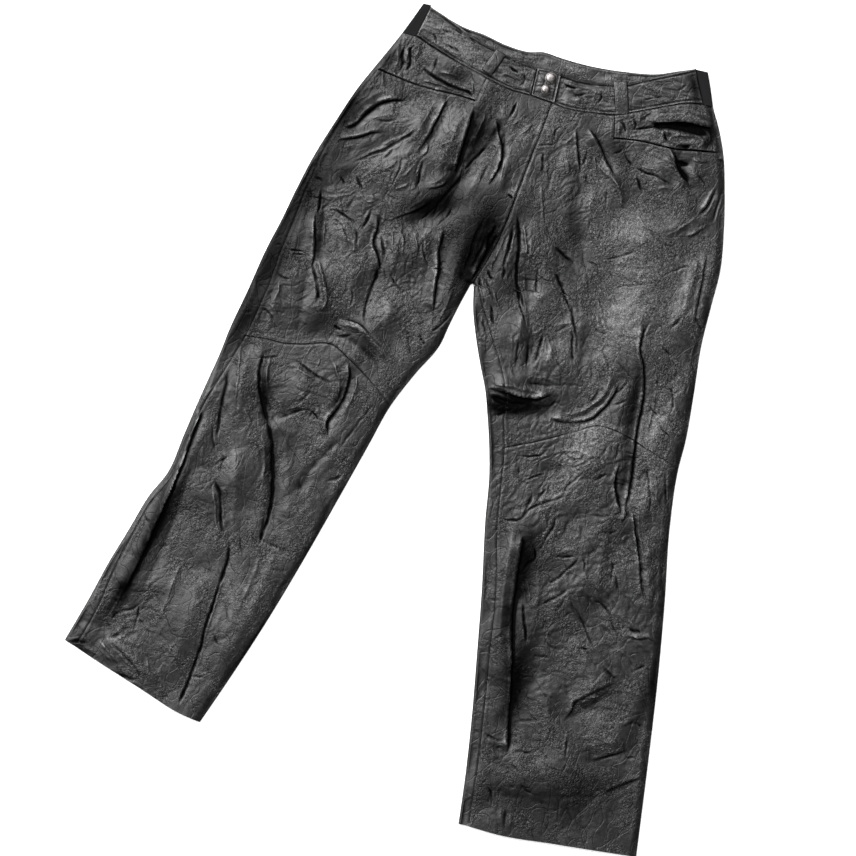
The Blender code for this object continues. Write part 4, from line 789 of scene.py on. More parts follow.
def creaseHeight(points, table):
    # troughs, ridges and tucks by their distance from the line, and the sideways lean of the tucks
    height, lean = np.zeros(len(points)), np.zeros((len(points), 2))
    wander, uneven, swing = relief["wanderSize"], relief["unevenSize"], relief["swingSize"]
    for kind, width, depth, *places in ((kind, *row) for kind, rows in table.items() for row in rows):
        places = np.reshape(np.array(places, float), (-1, 2))
        line = evenly(places, 4 * len(places))
        reach = 5 * width + 2
        near = nearTo(points, line, reach)
        if not near.any():
            continue
        off, along, left = fromLine(points[near], line)
        x, y = points[near].T
        calm = relief["tuckCalm"] if kind == "tuck" else 1.0
        off += relief["wander"] * calm * noise(x / wander + 17, y / wander)
        depth = depth * (1 + relief["unevenness"] * calm * noise(x / uneven, y / uneven))
        if kind == "tuck":
            depth *= 1 + relief["swing"] * noise(x / swing + 5, y / swing + 3)
        length = reachAlong(line)[-1]
        taper = min(relief["taper"], relief["taperMost"] * length) / length
        ends = smooth(along / taper) * smooth((1 - along) / taper)
        narrow = relief["tuckNarrow" if kind == "tuck" else "narrow"]
        t = off / (width * narrow * (0.35 + 0.65 * ends))    # towards its ends a crease narrows
        if kind == "trough":
            rounded = np.sqrt(t * t + relief["sharpness"]**2) - relief["sharpness"]
            shape = -np.exp(-rounded) + relief["troughRim"] * bell((np.abs(t) - 2.0) / 1.1)
        elif kind == "ridge":
            shape = relief["ridges"] * np.exp(0.25 - 1.3 * np.sqrt(t * t + 0.05))
        else:
            over = smooth(0.5 + off / (2 * relief["tuckEdge"] * (0.6 + width / 10)))
            high = np.exp(0.2 - 1.1 * np.sqrt(np.maximum(t, 0) ** 2 + 0.04))
            low = -relief["tuckDrop"] * np.exp(-np.maximum(-t, 0) * 2.4)
            shape = over * high + (1 - over) * low
            push = relief["lean"] * depth * ends * bell((off - 0.8) / 1.5)
            lean[near] -= push[:, None] * left
        height[near] += depth * ends * shape
    return height, lean


def crumpleHeight(points):
    # facets and short creases, both on warped, turned and drawn-out coordinates
    (x, y), warp, size = points.T, relief["warp"], relief["warpSize"]
    warpX = x + warp * noise(x / size + 3.1, y / size)
    warpY = y + warp * noise(x / size, y / size + 9.4)
    height = np.zeros(len(points))
    for number, (cx, cy, reach, rise, wave, turn, drawn) in enumerate(crumples):
        weight = bell(np.hypot(x - cx, y - cy) / reach)
        near = weight > 0.03
        if not near.any():
            continue
        angle = math.radians(turn)
        u = (warpX[near] * math.cos(angle) + warpY[near] * math.sin(angle)) / (wave * drawn)
        v = (warpY[near] * math.cos(angle) - warpX[near] * math.sin(angle)) / wave
        shift = 7.7 * number
        hills = 0.7 * facets(u + shift, v) + 0.3 * facets(2.3 * u, 2.3 * v + shift)
        creased = nicks(u + shift, v, 0.8) + 0.5 * nicks(1.7 * v + shift, 1.7 * u, 1.2)
        height[near] += weight[near] * rise * (relief["hills"] * hills - creased)
    height *= relief["crumple"]
    for rise, size, shift in relief["facets"]:
        height += rise * facets(warpX / size + shift, warpY / size)
    patch, size = relief["linePatch"], relief["lineSize"]
    creased = np.clip(0.55 + 1.5 * noise(x / patch + 21, y / patch), 0.1, 1.2)
    return height - relief["lines"] * creased * nicks(warpX / size + 11, warpY / size, 3.1)


def swelling(points):
    # height of the swells, a tilted plane under a bell, and how much each point is turned to the light, which
    # paints a highlight into the colour above 0 and a shade below 0
    x, y = points.T
    height, lit = np.zeros(len(points)), np.zeros(len(points))
    turn = math.radians(relief["lightTurn"])
    for cx, cy, long, wide, way, amount in swells:
        angle = math.radians(way)
        along = (x - cx) * math.cos(angle) + (y - cy) * math.sin(angle)
        beside = (y - cy) * math.cos(angle) - (x - cx) * math.sin(angle)
        weight = amount * bell(np.hypot(along / long, beside / wide))
        height -= relief["tilt"] * weight * ((x - cx) * math.cos(turn) + (y - cy) * math.sin(turn))
        lit += weight
    return height, lit


steps = layout["steps"]
mouthRow, crotchRow, kneeRow = steps[0], sum(steps[:2]), sum(steps[:3])

centre = down(centreTable, steps[:2])
leftFold = down(leftOuterTable, steps)
leftSewn = np.vstack([centre[:-1], down(leftInnerTable, steps[2:])])
rightFold = np.vstack([centre[:-1], down(rightInnerTable, steps[2:])])
rightSewn = down(rightOuterTable, steps)


def inward(fold, sewn):
    # unit steps across the leg, from its left-hand edge to its right-hand one
    run = sewn[:, :2] - fold[:, :2]
    return run / np.hypot(*run.T)[:, None]


outerIn, innerIn = inward(leftFold, leftSewn), inward(rightFold, rightSewn)
outseam = leftFold[:, :2] + leftFold[:, 2:] * outerIn
inseam = rightFold[:, :2] + rightFold[:, 2:] * innerIn
waistLeft = np.vstack([lines["waistLeftPocket"], lines["waistLeftFront"][1:]])
waistRight = np.vstack([lines["waistRightFront"], lines["waistRightPocket"][1:]])

# Seams that run over the panels: a groove at the seam and a flat welt with a stitch groove beside it.
# Columns: the line, the side of the welt (+1 is left of the way), the welt's width, how deep the groove is
seamLines = {
    "outseam": (outseam[mouthRow:][::6], 1, 4.0, 0.9),
    "inseam": (inseam[crotchRow:][::6], 1, 4.0, 0.9),
    "centre": (centre[::6, :2], -1, 4.0, 1.9),
    "kneeLeft": (evenly(lines["kneeLeft"], 50), 1, 5.0, 1.2),
    "kneeRight": (evenly(lines["kneeRight"], 50), 1, 5.0, 1.2),
    "pocketSeamLeft": (np.array([(-85, 13), (-92, -20)], float), 1, 4.0, 0.8),
    "pocketSeamRight": (np.array([(88, 4), (94, -27)], float), -1, 4.0, 0.8),
    "mouthLeft": (evenly(lines["mouthLeft"], 30), -1, 3.0, 0.4),
    "mouthRight": (evenly(lines["mouthRight"], 30), -1, 3.0, 0.4),
    "waistLeft": (evenly(waistLeft, 50), 1, 3.0, 1.9),
    "waistRight": (evenly(waistRight, 50), 1, 3.0, 1.9),
}
weltShape = {
    "welt": 0.4,            # height of the welt
    "groove": 0.6,          # share of the depths in the table
    "stitched": 0.25,       # depth of the groove under the stitches, and its place inside the welt's far edge
    "stitchIn": 1.4,
    "reach": 12,
}


def seamHeight(points):
    # a bell-shaped groove on the line, a low welt beside it and a finer groove where the stitches lie
    height = np.zeros(len(points))
    for line, side, width, depth in seamLines.values():
        near = nearTo(points, line, weltShape["reach"])
        if not near.any():
            continue
        off, along, _ = fromLine(points[near], line)
        t = off * side
        inside = (along > 0) & (along < 1)
        height[near] += inside * (
            weltShape["welt"] * smooth((t + 0.4) / 1.2) * smooth((width + 1.4 - t) / 2.0)
            - weltShape["groove"] * depth * bell(off / 1.1)
            - weltShape["stitched"] * bell((t - width + weltShape["stitchIn"]) / 0.9)
        )
    return height


# The widths over which each of these dies out towards an outline
fades = {"folds": 20.0, "creases": 7.0, "swells": 14.0, "puff": 25.0, "seams": 3.0, "lean": 10.0}


def surface(points, least=None):
    # top of the upper layer, never under least, and how far each point is pushed sideways
    flat = points.reshape(-1, 2)
    rolled = np.minimum(distanceTo(flat, leftFold[::3, :2]), distanceTo(flat, rightFold[crotchRow:][::3, :2]))
    sewn = np.minimum(distanceTo(flat, leftSewn[crotchRow:][::3, :2]), distanceTo(flat, rightSewn[::3, :2]))
    drop = layout["base"] - layout["sewnTop"]
    edge = layout["base"] - drop * (1 - smooth(sewn / layout["sewnFall"]))
    nearest = np.minimum(rolled, sewn)
    sharp, lean = creaseHeight(flat, creases)
    fade = {name: smooth(nearest / width) for name, width in fades.items()}
    height = edge + foldHeight(flat) * fade["folds"]
    height += fade["creases"] * (relief["creases"] * sharp + crumpleHeight(flat))
    height += swelling(flat)[0] * fade["swells"]
    height += relief["puff"] * fade["puff"] + fade["seams"] * seamHeight(flat)
    floor, bend = np.minimum(edge, layout["lowestTop"]), layout["floorBend"]
    if least is not None:
        edge, floor = np.maximum(edge, least.ravel()), np.maximum(floor, least.ravel())
    height = floor + bend * np.logaddexp(0.0, (height - floor) / bend)
    height = np.where(nearest < layout["edgeFlat"], edge, height)
    lean *= fade["lean"][:, None]
    return height.reshape(points.shape[:-1]), lean.reshape(points.shape)


def drawnIn(plan, sides="lrtb"):
    # the plan with its named borders drawn in by half a seam gap
    out = plan.copy()
    borders = {
        "l": (np.s_[:, 0], np.s_[:, 1]), "r": (np.s_[:, -1], np.s_[:, -2]),
        "t": (np.s_[0, :], np.s_[1, :]), "b": (np.s_[-1, :], np.s_[-2, :]),
    }
    for side in sides:
        edge, nextIn = borders[side]
        step = plan[nextIn] - plan[edge]
        out[edge] += step / np.linalg.norm(step, axis=-1, keepdims=True) * layout["seamGap"] / 2
    return out


def around(height, reach, combine):
    # the heights within so many vertices each way, combined down the columns and then along the rows
    for axis in (0, 1):
        pads = [(reach, reach) if a == axis else (0, 0) for a in (0, 1)]
        wide, places = np.pad(height, pads, mode="edge"), np.arange(height.shape[axis])
        height = combine([np.take(wide, places + k, axis=axis) for k in range(2 * reach + 1)])
    return height


def lowered(height, reach):
    return around(height, reach, np.minimum.reduce)


def averaged(height, reach):
    return around(height, reach, lambda views: sum(views) / len(views))


def meshFrom(name, points, faces):
    name += "_finished"
    mesh = bpy.data.meshes.new(name)
    mesh.from_pydata(onPart(points).tolist(), [], faces)
    mesh.validate()
    mesh.update()
    mesh.shade_smooth()
    mesh.set_sharp_from_angle(angle=math.radians(layout["sharpAngle"]))
    piece = bpy.data.objects.new(name, mesh)
    bpy.context.scene.collection.objects.link(piece)
    return piece


def gridFaces(number, keep):
    cells = np.stack([number[:-1, :-1], number[1:, :-1], number[1:, 1:], number[:-1, 1:]], axis=-1)
    return cells[keep]


def surfaceShares(height, used, plan):
    # crest: 1 on ridges and 0 in valleys; it pales the colour, partly as wear from rubbing and partly as a
    # painted highlight. The share
    # for painted shade: 1 where a dull black is mixed in, in folds that little light gets into and on swells
    # turned from the light.
    # lit: above 0 where the swells face the light, and there the colour is paler, a painted highlight. up and
    # far: millimetres above the surroundings
    up, far = ((height - averaged(height, reach))[used] for reach in relief["crestReach"])
    lit = swelling(plan)[1]
    # painted shade: low places, and swells turned from the light, get a dull black mixed in
    valley = np.clip(-0.7 * up - 0.25 * far - 0.25 - 0.15 * np.maximum(lit, 0), 0, 1)
    return {
        "crest": np.clip(0.45 + up / 1.7 + 0.2 * lit, 0, 1),
        "painted_shade": valley + np.clip(-0.8 * lit - 0.15, 0, 1),
        "lit": np.clip(lit, 0, 1.8),
    }


def shell(name, outer, inner, keep=None):
    # a closed wall: a fine grid outside, one vertex in so many inside, and a rim of many-sided faces.
    # keep marks the inner cells that are there
    k = layout["inlay"]
    rows, columns = inner.shape[:2]
    if keep is None:
        keep = np.ones((rows - 1, columns - 1), bool)
    fineKeep = np.repeat(np.repeat(keep, k, axis=0), k, axis=1)

    def used(cells):
        mask = np.zeros((cells.shape[0] + 1, cells.shape[1] + 1), bool)
        for i in (0, 1):
            for j in (0, 1):
                mask[i:i + cells.shape[0], j:j + cells.shape[1]] |= cells
        return mask

    fineUsed, coarseUsed = used(fineKeep), used(keep)
    fine = np.cumsum(fineUsed).reshape(fineUsed.shape) - 1
    count = int(fineUsed.sum())
    coarse = np.cumsum(coarseUsed).reshape(coarseUsed.shape) - 1 + count
    faces = gridFaces(fine, fineKeep).tolist() + gridFaces(coarse, keep)[:, ::-1].tolist()
    edges = {}
    for row, column in zip(*np.nonzero(keep)):
        ring = [(row, column), (row + 1, column), (row + 1, column + 1), (row, column + 1)]
        for first, last in zip(ring, ring[1:] + ring[:1]):
            edges[first, last] = True
    for first, last in edges:
        if (last, first) in edges:
            continue
        way = [
            (first[0] * k + (last[0] - first[0]) * i, first[1] * k + (last[1] - first[1]) * i)
            for i in range(k + 1)
        ]
        rim = [int(fine[place]) for place in reversed(way)]
        faces.append(rim + [int(coarse[first]), int(coarse[last])])
    made = meshFrom(name, np.vstack([outer[fineUsed], inner[coarseUsed]]), faces)
    for title, share in surfaceShares(outer[..., 2], fineUsed, outer[fineUsed][:, :2]).items():
        values = np.zeros(len(made.data.vertices))
        values[:count] = share
        made.data.attributes.new(title, "FLOAT", "POINT").data.foreach_set("value", values)
    return made


def clothShell(name, plan, top, keep=None, lean=None, wall=layout["wall"], lowest=layout["lowestInner"]):
    # the wall under a height: its inner side is the lowest outer height nearby, less the wall
    k = layout["inlay"]
    outer = np.dstack([plan if lean is None else plan + lean, top])
    lowest = np.minimum(lowest, top[::k, ::k] - layout["leastWall"])
    below = np.maximum(lowered(top, k)[::k, ::k] - wall, lowest)
    return shell(name, outer, np.dstack([plan[::k, ::k], below]), keep)


panels = {
    "columns": 228,         # across a thigh
    "pocketColumns": 129,   # of these, from the side seam to the upright seam of the pocket
    "pocketShare": 0.5608,  # and the share of the width that they take
    "shinColumns": 165,
    "peek": {"left": 2.5, "right": 0.6},     # what shows of the back panel beside a sewn edge
    "lap": 6.0,             # how far a pocket facing runs on under the mouth
    "lapRows": 6,
    "lapFall": 6.0,         # width beyond the lap over which the front panel comes down again
    "mouthFall": 1.4,       # width over which the facing goes down under the mouth
    "mouthTop": 5.3,        # lowest top of the panel over the facing
    "facingTopMost": 11.0,
}


def split(parts, at):
    # parts from 0 to 1: so many steps up to a share, and the rest beyond it
    return np.concatenate([np.linspace(0, at[1], at[0] + 1), np.linspace(at[1], 1, parts - at[0] + 1)[1:]])


def pocketLine(outer, inner, parts, first):
    # a line across a panel in two stretches that meet at the upright seam of the pocket
    one, two = (outer, inner) if first == panels["pocketColumns"] else (inner, outer)
    before = across(one, parts[:first + 1] / parts[first])
    after = across(two, (parts[first:] - parts[first]) / (1 - parts[first]))
    return np.vstack([before, after[1:]])


def frontPanels(side, fold, sewn, seam, outerWaist, innerWaist, outerMouth, kneeLine, hemLine):
    # thigh with its pocket corner cut away, the facing in that corner, and shin: Coons patches
    k, isLeft = layout["inlay"], side == "left"
    stepIn = inward(fold, sewn)
    edge = sewn[:, :2].copy()
    edge[crotchRow if isLeft else 0:] -= stepIn[crotchRow if isLeft else 0:] * panels["peek"][side]
    count, pocketCount, share = panels["columns"], panels["pocketColumns"], panels["pocketShare"]
    first = pocketCount if isLeft else count - pocketCount
    parts = split(count, (first, share if isLeft else 1 - share))
    pocket = slice(0, first) if isLeft else slice(first, count)
    mouthCentre = tuple(centre[mouthRow, :2])
    innerMouth = (outerMouth[-1], mouthCentre) if isLeft else (mouthCentre, outerMouth[0])
    waist = ended(pocketLine(outerWaist, innerWaist, parts, first), seam[0], edge[0])
    mouth = ended(pocketLine(outerMouth, innerMouth, parts, first), seam[mouthRow], edge[mouthRow])
    knees = ended(across(kneeLine, parts), seam[kneeRow], edge[kneeRow])
    yoke = coons(waist, mouth, seam[:mouthRow + 1], edge[:mouthRow + 1], parts)
    body = coons(mouth, knees, seam[mouthRow:kneeRow + 1], edge[mouthRow:kneeRow + 1], parts)
    thigh = np.vstack([yoke[:-1], body])
    keep = np.ones((kneeRow // k, count // k), bool)
    keep[:mouthRow // k, pocket.start // k:pocket.stop // k] = False
    mouthEdge = mouth[pocket.start:pocket.stop + 1]
    below = distanceTo(thigh, mouthEdge[::4])
    floor = panels["mouthTop"] * (1 - smooth((below - panels["lap"]) / panels["lapFall"]))
    top, lean = surface(thigh, floor)
    front = clothShell("front_thigh_" + side, drawnIn(thigh), top, keep, lean)

    facing = yoke[:, pocket.start:pocket.stop + 1]
    fall = facing[-1] - facing[-4]
    fall /= np.linalg.norm(fall, axis=-1, keepdims=True)
    runOn = panels["lap"] * np.arange(1, panels["lapRows"] + 1)[:, None, None] / panels["lapRows"]
    facing = np.vstack([facing, facing[-1] + fall * runOn])
    height, lean = surface(facing)
    height = np.minimum(height, panels["facingTopMost"])
    above = distanceTo(facing, mouthEdge[::4])
    above[mouthRow:] = 0
    free = smooth((above - 1) / panels["mouthFall"])
    low = np.minimum(layout["facingTop"], height)
    height = low + (height - low) * free
    lean *= free[..., None]
    plan = drawnIn(drawnIn(facing, "lrt"), "lr")
    behind = clothShell("pocket_facing_" + side, plan, height, lean=lean)

    parts = np.linspace(0, 1, panels["shinColumns"] + 1)
    knees = ended(across(kneeLine, parts), seam[kneeRow], edge[kneeRow])
    hem = ended(across(hemLine, parts), seam[-1], edge[-1])
    shin = coons(knees, hem, seam[kneeRow:], edge[kneeRow:], parts)
    top, lean = surface(shin)
    lower = clothShell("front_shin_" + side, drawnIn(shin, "lrt"), top, lean=lean)
    print("front of the", side, "leg made")
    return waist, mouthEdge, hem, [front, behind, lower]


leftWaistEdge, leftMouth, leftHem, leftFronts = frontPanels(
    "left", leftFold, leftSewn, outseam, lines["waistLeftPocket"], lines["waistLeftFront"],
    lines["mouthLeft"], lines["kneeLeft"], lines["hemLeft"],
)
rightWaistEdge, rightMouth, rightHem, rightFronts = frontPanels(
    "right", rightFold, rightSewn, inseam, lines["waistRightPocket"], lines["waistRightFront"],
    lines["mouthRight"], lines["kneeRight"], lines["hemRight"],
)
frontWaist = np.vstack([leftWaistEdge, rightWaistEdge])

backs = {
    "columns": (48, 12, 12),     # on the floor, round the roll, on top
    "kneeLower": 27,             # rows that the seam behind the knee sits below the front one
    "leastRoll": 4.0,            # shortest strip that comes round on top
    "dent": 0.8,                 # deepest crease on the underside
    "dentNoise": 0.35,
}


def rolled(fold, stepsIn, lower, upper, radius, wall, counts):
    # a layer that lies on the floor, turns half a circle up round the fold and comes back on top
    lowerCount, turnCount, upperCount = counts
    low = radius + np.linspace(1, 0, lowerCount + 1)[None, :] * (lower[:, None] - radius)
    turn = np.pi * np.linspace(0, 1, turnCount + 1)[None, 1:]
    high = radius + np.linspace(0, 1, upperCount + 1)[None, 1:] * (upper[:, None] - radius)
    ones = np.ones((len(fold), 1))
    layers = []
    for arc, floor in ((radius, 0.0), (radius - wall, wall)):
        aside = np.hstack([low, (radius - arc * np.sin(turn)) * ones, high])
        up = np.hstack([floor + 0 * low, (radius - arc * np.cos(turn)) * ones, radius + arc + 0 * high])
        layers.append(np.dstack([fold[:, None, :2] + aside[..., None] * stepsIn[:, None], up]))
    return layers


def underDents(points):
    # creases in the underside, so that nothing goes below the floor: bells across lines, and noise
    flat = points.reshape(-1, 2)
    dent = backs["dentNoise"] * np.maximum(0, 2 * np.abs(noise(flat[:, 0] / 34, flat[:, 1] / 34 + 17)) - 0.2)
    for x0, y0, x1, y1, width in undersideFolds:
        middlePoint = ((x0 + x1) / 2 + 0.06 * (y1 - y0), (y0 + y1) / 2 - 0.06 * (x1 - x0))
        line = evenly([(x0, y0), middlePoint, (x1, y1)], 9)
        off, along, _ = fromLine(flat, line)
        dent += backs["dent"] * bell(off / width) * smooth(along / 0.3) * smooth((1 - along) / 0.3)
    return np.minimum(dent, backs["dent"]).reshape(points.shape[:-1])


def backPanels(side, fold, sewn, waist):
    # back thigh and back shin: flat on the floor, rolled up round the left-hand edge of the leg
    k, counts = layout["inlay"], backs["columns"]
    lowerCount = counts[0]
    stepIn = inward(fold, sewn)
    lower = np.hypot(*(sewn[:, :2] - fold[:, :2]).T)
    upper = np.maximum(fold[:, 2], backs["leastRoll"])
    outer, inner = rolled(fold, stepIn, lower, upper, layout["rollRadius"], layout["wall"], counts)
    lowerRun = np.s_[:, :lowerCount + 1]
    if side == "right":
        # above the crotch the panel has no roll: it ends at the centre seam
        stretch = np.linspace(1, 0, lowerCount + 1)[None, :] * lower[:crotchRow, None]
        for layer in (outer, inner):
            layer[:crotchRow][lowerRun][..., :2] = (
                fold[:crotchRow, None, :2] + stretch[..., None] * stepIn[:crotchRow, None]
            )
    # the waist edge follows the curve of the waist seam, less and less down to the mouth
    reach = np.linalg.norm(outer[0, :lowerCount + 1, :2] - fold[0, :2], axis=-1) / lower[0]
    curve = across(waist, reach) - (fold[0, :2] + reach[:, None] * (sewn[0, :2] - fold[0, :2]))
    share = (1 - np.arange(mouthRow + 1) / (mouthRow + 1))[:, None, None]
    for layer in (outer, inner):
        layer[:mouthRow + 1][lowerRun][..., :2] += share * curve
    inside = np.sin(np.pi * np.clip(np.linspace(0.02, 1, lowerCount + 1), 0, 0.98))
    outer[lowerRun][..., 2] += underDents(outer[lowerRun][..., :2]) * inside
    strip = lowerCount + counts[1] + 1
    outer[:, strip:, 2] = surface(outer[:, strip:, :2])[0]
    inner[:, strip:, 2] = lowered(outer[:, strip:, 2], k) - layout["wall"]
    keep = np.ones(((len(fold) - 1) // k, sum(counts) // k), bool)
    if side == "right":
        keep[:crotchRow // k, lowerCount // k:] = False
    knee = kneeRow + backs["kneeLower"]
    made = []
    stretches = ("back_thigh_", 0, knee, "tb"), ("back_shin_", knee, len(fold) - 1, "t")
    for name, first, last, openEnds in stretches:
        rows = slice(first, last + 1)
        layers = [layer[rows].copy() for layer in (outer, inner)]
        shift = drawnIn(outer[rows, :, :2], openEnds) - outer[rows, :, :2]
        for layer in layers:
            layer[..., :2] += shift
            layer[:, [0, -1], :2] -= stepIn[rows][:, None] * layout["seamGap"] / 2
            if side == "right" and first == 0:
                layer[:crotchRow, lowerCount, :2] += stepIn[:crotchRow] * layout["seamGap"] / 2
        made.append(shell(name + side, layers[0], layers[1][::k, ::k], keep[first // k:last // k]))
    print("back of the", side, "leg made")
    return outer[0, lowerCount::-1, :2], made


leftBackEdge, leftBacks = backPanels("left", leftFold, leftSewn, waistLeft)
rightBackEdge, rightBacks = backPanels("right", rightFold, rightSewn, waistRight)
backWaist = np.vstack([leftBackEdge, rightBackEdge])

band = {
    "left": -187.0, "right": 197.0,      # where it meets the elastic inserts at the waist seam
    "tabLeft": -24.0, "tabRight": 9.0,
    "underTab": -10.0,
    "round": 1.7,            # radius of its turned edges
    "edgeDrop": 1.3,
    "rim": 0.5,              # a low ridge along the long edges, where the seam allowance lies inside
    "rimIn": 1.5, "rimWidth": 0.9,
    "stitchDepth": 0.8,      # the stitched line inside its long edges
    "stitchIn": 3.6, "stitchWidth": 0.8,
    "stitchRow": 3,          # the row of its grid that the stitches follow
    "lapGap": 0.3,           # air between the tab and what it lies on
    "wave": 0.8,             # height of its waviness
    "creases": 2.3,          # and of its creases
    "lines": 0.8,            # depth of its fine lines
    "evenEdge": (1, 5),      # width along the edges without them, and width over which they grow beyond it
}
bandCreases = {
    "trough": (
        (1.4, 0.8, -161, 61, -145, 60, -128, 56), (1.3, 0.7, -150, 67, -136, 64, -120, 58),
        (1.2, 0.7, -128, 64, -116, 59, -106, 53), (1.5, 0.9, -61, 35, -52, 31, -44, 28),
        (1.2, 0.6, -154, 44, -138, 42, -122, 38), (1.2, 0.6, -168, 56, -160, 48, -156, 40),
        (1.4, 0.8, 12, 29, 22, 26, 36, 25), (1.3, 0.7, 26, 14, 36, 18, 47, 23),
        (1.2, 0.6, 60, 10, 66, 20, 64, 33), (1.2, 0.6, -41, 11, -37, 21, -39, 33),
        (1.2, 0.5, 118, 30, 132, 37, 146, 42), (1.2, 0.5, 158, 50, 166, 58, 172, 68),
    ),
    "ridge": (
        (1.7, 0.7, -156, 56, -140, 55, -124, 51), (1.8, 0.7, -152, 38, -134, 36, -118, 31),
        (2, 0.8, 14, 35, 24, 33, 34, 30), (1.8, 0.8, 28, 9, 38, 12, 47, 18),
        (1.8, 0.6, 54, 12, 57, 22, 55, 33), (2, 0.6, -70, 18, -62, 24, -50, 22),
    ),
}


def ramp(points, start, length, low, high):
    return low + (high - low) * smooth((points[..., 0] - start) / length)


def turned(height, away, radius, drop):
    # a turned edge: a quarter of an ellipse down to the border
    t = 1 - np.clip(away / radius, 0, 1)
    return height - drop * (1 - np.sqrt(1 - t * t))


def bandPiece(name, edge, ends, columns, rows, waist, slope, stitchedEnds=False):
    # a flat piece of band: straight lines from its free edge to the waist seam, and a turned edge all round.
    # slope: where its top starts to change, over what length, and its height before and after
    seamX = np.linspace(*ends, columns + 1)
    seam = np.stack([seamX, np.interp(seamX, *waist.T)], axis=-1)
    v = np.linspace(0, 1, rows + 1)[:, None, None]
    plan = drawnIn(drawnIn((1 - v) * evenly(edge, columns + 1) + v * seam, "lrb"), "b")
    flat, level = plan.reshape(-1, 2), ramp(plan, *slope)
    long = np.minimum(distanceTo(plan, plan[0, ::3]), distanceTo(plan, plan[-1, ::3]))
    short = np.minimum(distanceTo(plan, plan[::3, 0]), distanceTo(plan, plan[::3, -1]))
    nearest = np.minimum(long, short)
    sharp, _ = creaseHeight(flat, bandCreases)
    waves = noise(flat[:, 0] / 26 + 5, flat[:, 1] / 11) + 0.3 * noise(flat[:, 0] / 11, flat[:, 1] / 5 + 31)
    fine = nicks(flat[:, 0] / 12 + 3, flat[:, 1] / 7, 0.5)
    uneven = (band["creases"] * sharp + band["wave"] * waves - band["lines"] * fine).reshape(nearest.shape)
    flatEdge, run = band["evenEdge"]
    height = level + uneven * smooth((nearest - flatEdge) / run)
    stitched = nearest if stitchedEnds else long
    height += band["rim"] * bell((stitched - band["rimIn"]) / band["rimWidth"])
    height -= band["stitchDepth"] * bell((stitched - band["stitchIn"]) / band["stitchWidth"])
    height = turned(height, nearest, band["round"], band["edgeDrop"])
    wall = layout["bandWall"]
    made = clothShell(name, plan, height, wall=wall, lowest=level.min() - wall)
    return made, np.dstack([plan, height])


bandTop, bandWall, tabTop = layout["bandTop"], layout["bandWall"], layout["tabTop"]
underTop = tabTop - bandWall - band["lapGap"]
bandLeft, leftGrid = bandPiece(
    "waistband_front_left", lines["bandLeft"], (band["left"], band["tabLeft"]), 135, 33, frontWaist,
    (0, 1, bandTop, bandTop),
)
bandRight, rightGrid = bandPiece(
    "waistband_front_right", lines["bandRight"], (band["underTab"], band["right"]), 174, 33, frontWaist,
    (band["tabRight"] + 1, 14, underTop, bandTop),
)
bandBack, backGrid = bandPiece(
    "waistband_back", lines["bandBack"], (band["left"], band["right"]), 240, 27, backWaist,
    (0, 1, bandWall, bandWall),
)
tab, tabGrid = bandPiece(
    "waistband_tab", lines["tab"], (band["tabLeft"], band["tabRight"]), 33, 36, frontWaist,
    (band["tabLeft"], 10, bandTop + band["lapGap"], tabTop), True,
)
print("waistband made")

elastic = {
    "left": ((-187, 89, 10.5), (-196, 67, 14), (-205, 46, 18)),      # outline x, y and how far it reaches in
    "right": ((193.5, 85, 16), (203, 62, 14.7), (210, 43, 12.8)),
    "rows": 36, "columns": (12, 12, 12),
    "rib": 0.16, "ribPitch": 2.6,
}


def elasticPiece(side, towards):
    # a ribbed insert that turns round one side of the band
    fold = evenly(elastic[side], elastic["rows"] + 1)
    reach = fold[:, 2] - layout["seamGap"] / 2
    stepsIn = np.tile([towards, 0.0], (len(fold), 1))
    outer, inner = rolled(fold, stepsIn, reach, reach, layout["bandRadius"], bandWall, elastic["columns"])
    for layer in (outer, inner):
        fall = layer[-1, :, :2] - layer[-2, :, :2]
        layer[-1, :, :2] -= fall / np.linalg.norm(fall, axis=-1, keepdims=True) * layout["seamGap"]
    ribs = elastic["rib"] * (np.cos(2 * np.pi * reachAlong(fold) / elastic["ribPitch"]) - 1)
    outer[1:-1, elastic["columns"][0] + 2:-1, 2] += ribs[1:-1, None]
    if towards < 0:
        outer, inner = outer[:, ::-1], inner[:, ::-1]
    return shell("elastic_" + side, outer, inner[::layout["inlay"], ::layout["inlay"]])


elastics = [elasticPiece("left", 1.0), elasticPiece("right", -1.0)]

loops = {
    "left": (-74, 50, -87, 19, 15),      # top x, y, bottom x, y, width
    "right": (85, 48, 97, 6, 18),
    "wall": 2.0, "gap": 0.4, "arch": 1.8,
    "rows": 36, "columns": 15,
    "round": 1.6, "edgeDrop": 1.3,
    "stitchIn": 2.2, "stitchDepth": 0.25, "stitchWidth": 0.7,
}


def beltLoop(side):
    # a strap with turned edges that arches a little between its sewn ends
    topX, topY, bottomX, bottomY, width = loops[side]
    start, end = np.array([topX, topY], float), np.array([bottomX, bottomY], float)
    run = (end - start) / np.hypot(*(end - start))
    left = np.array([-run[1], run[0]])
    part = np.linspace(0, 1, loops["rows"] + 1)
    line = start + part[:, None] * (end - start)
    spread = np.linspace(-0.5, 0.5, loops["columns"] + 1)[None, :, None] * width * left
    plan = line[:, None] + spread
    under = bandTop + loops["gap"] + loops["arch"] * np.sin(np.pi * part)[:, None] + 0 * plan[..., 0]
    reach = reachAlong(line)[:, None]
    sides = width / 2 - np.abs(spread @ left)
    away = np.minimum(np.minimum(sides, reach), reach[-1] - reach)
    top = turned(under + loops["wall"], away, loops["round"], loops["edgeDrop"])
    top -= loops["stitchDepth"] * bell((sides - loops["stitchIn"]) / loops["stitchWidth"])
    k = layout["inlay"]
    outer, inner = np.dstack([plan, top]), np.dstack([plan, under])[::k, ::k]
    return shell("belt_loop_" + side, outer, inner), outer


beltLoops, loopGrids = zip(beltLoop("left"), beltLoop("right"))

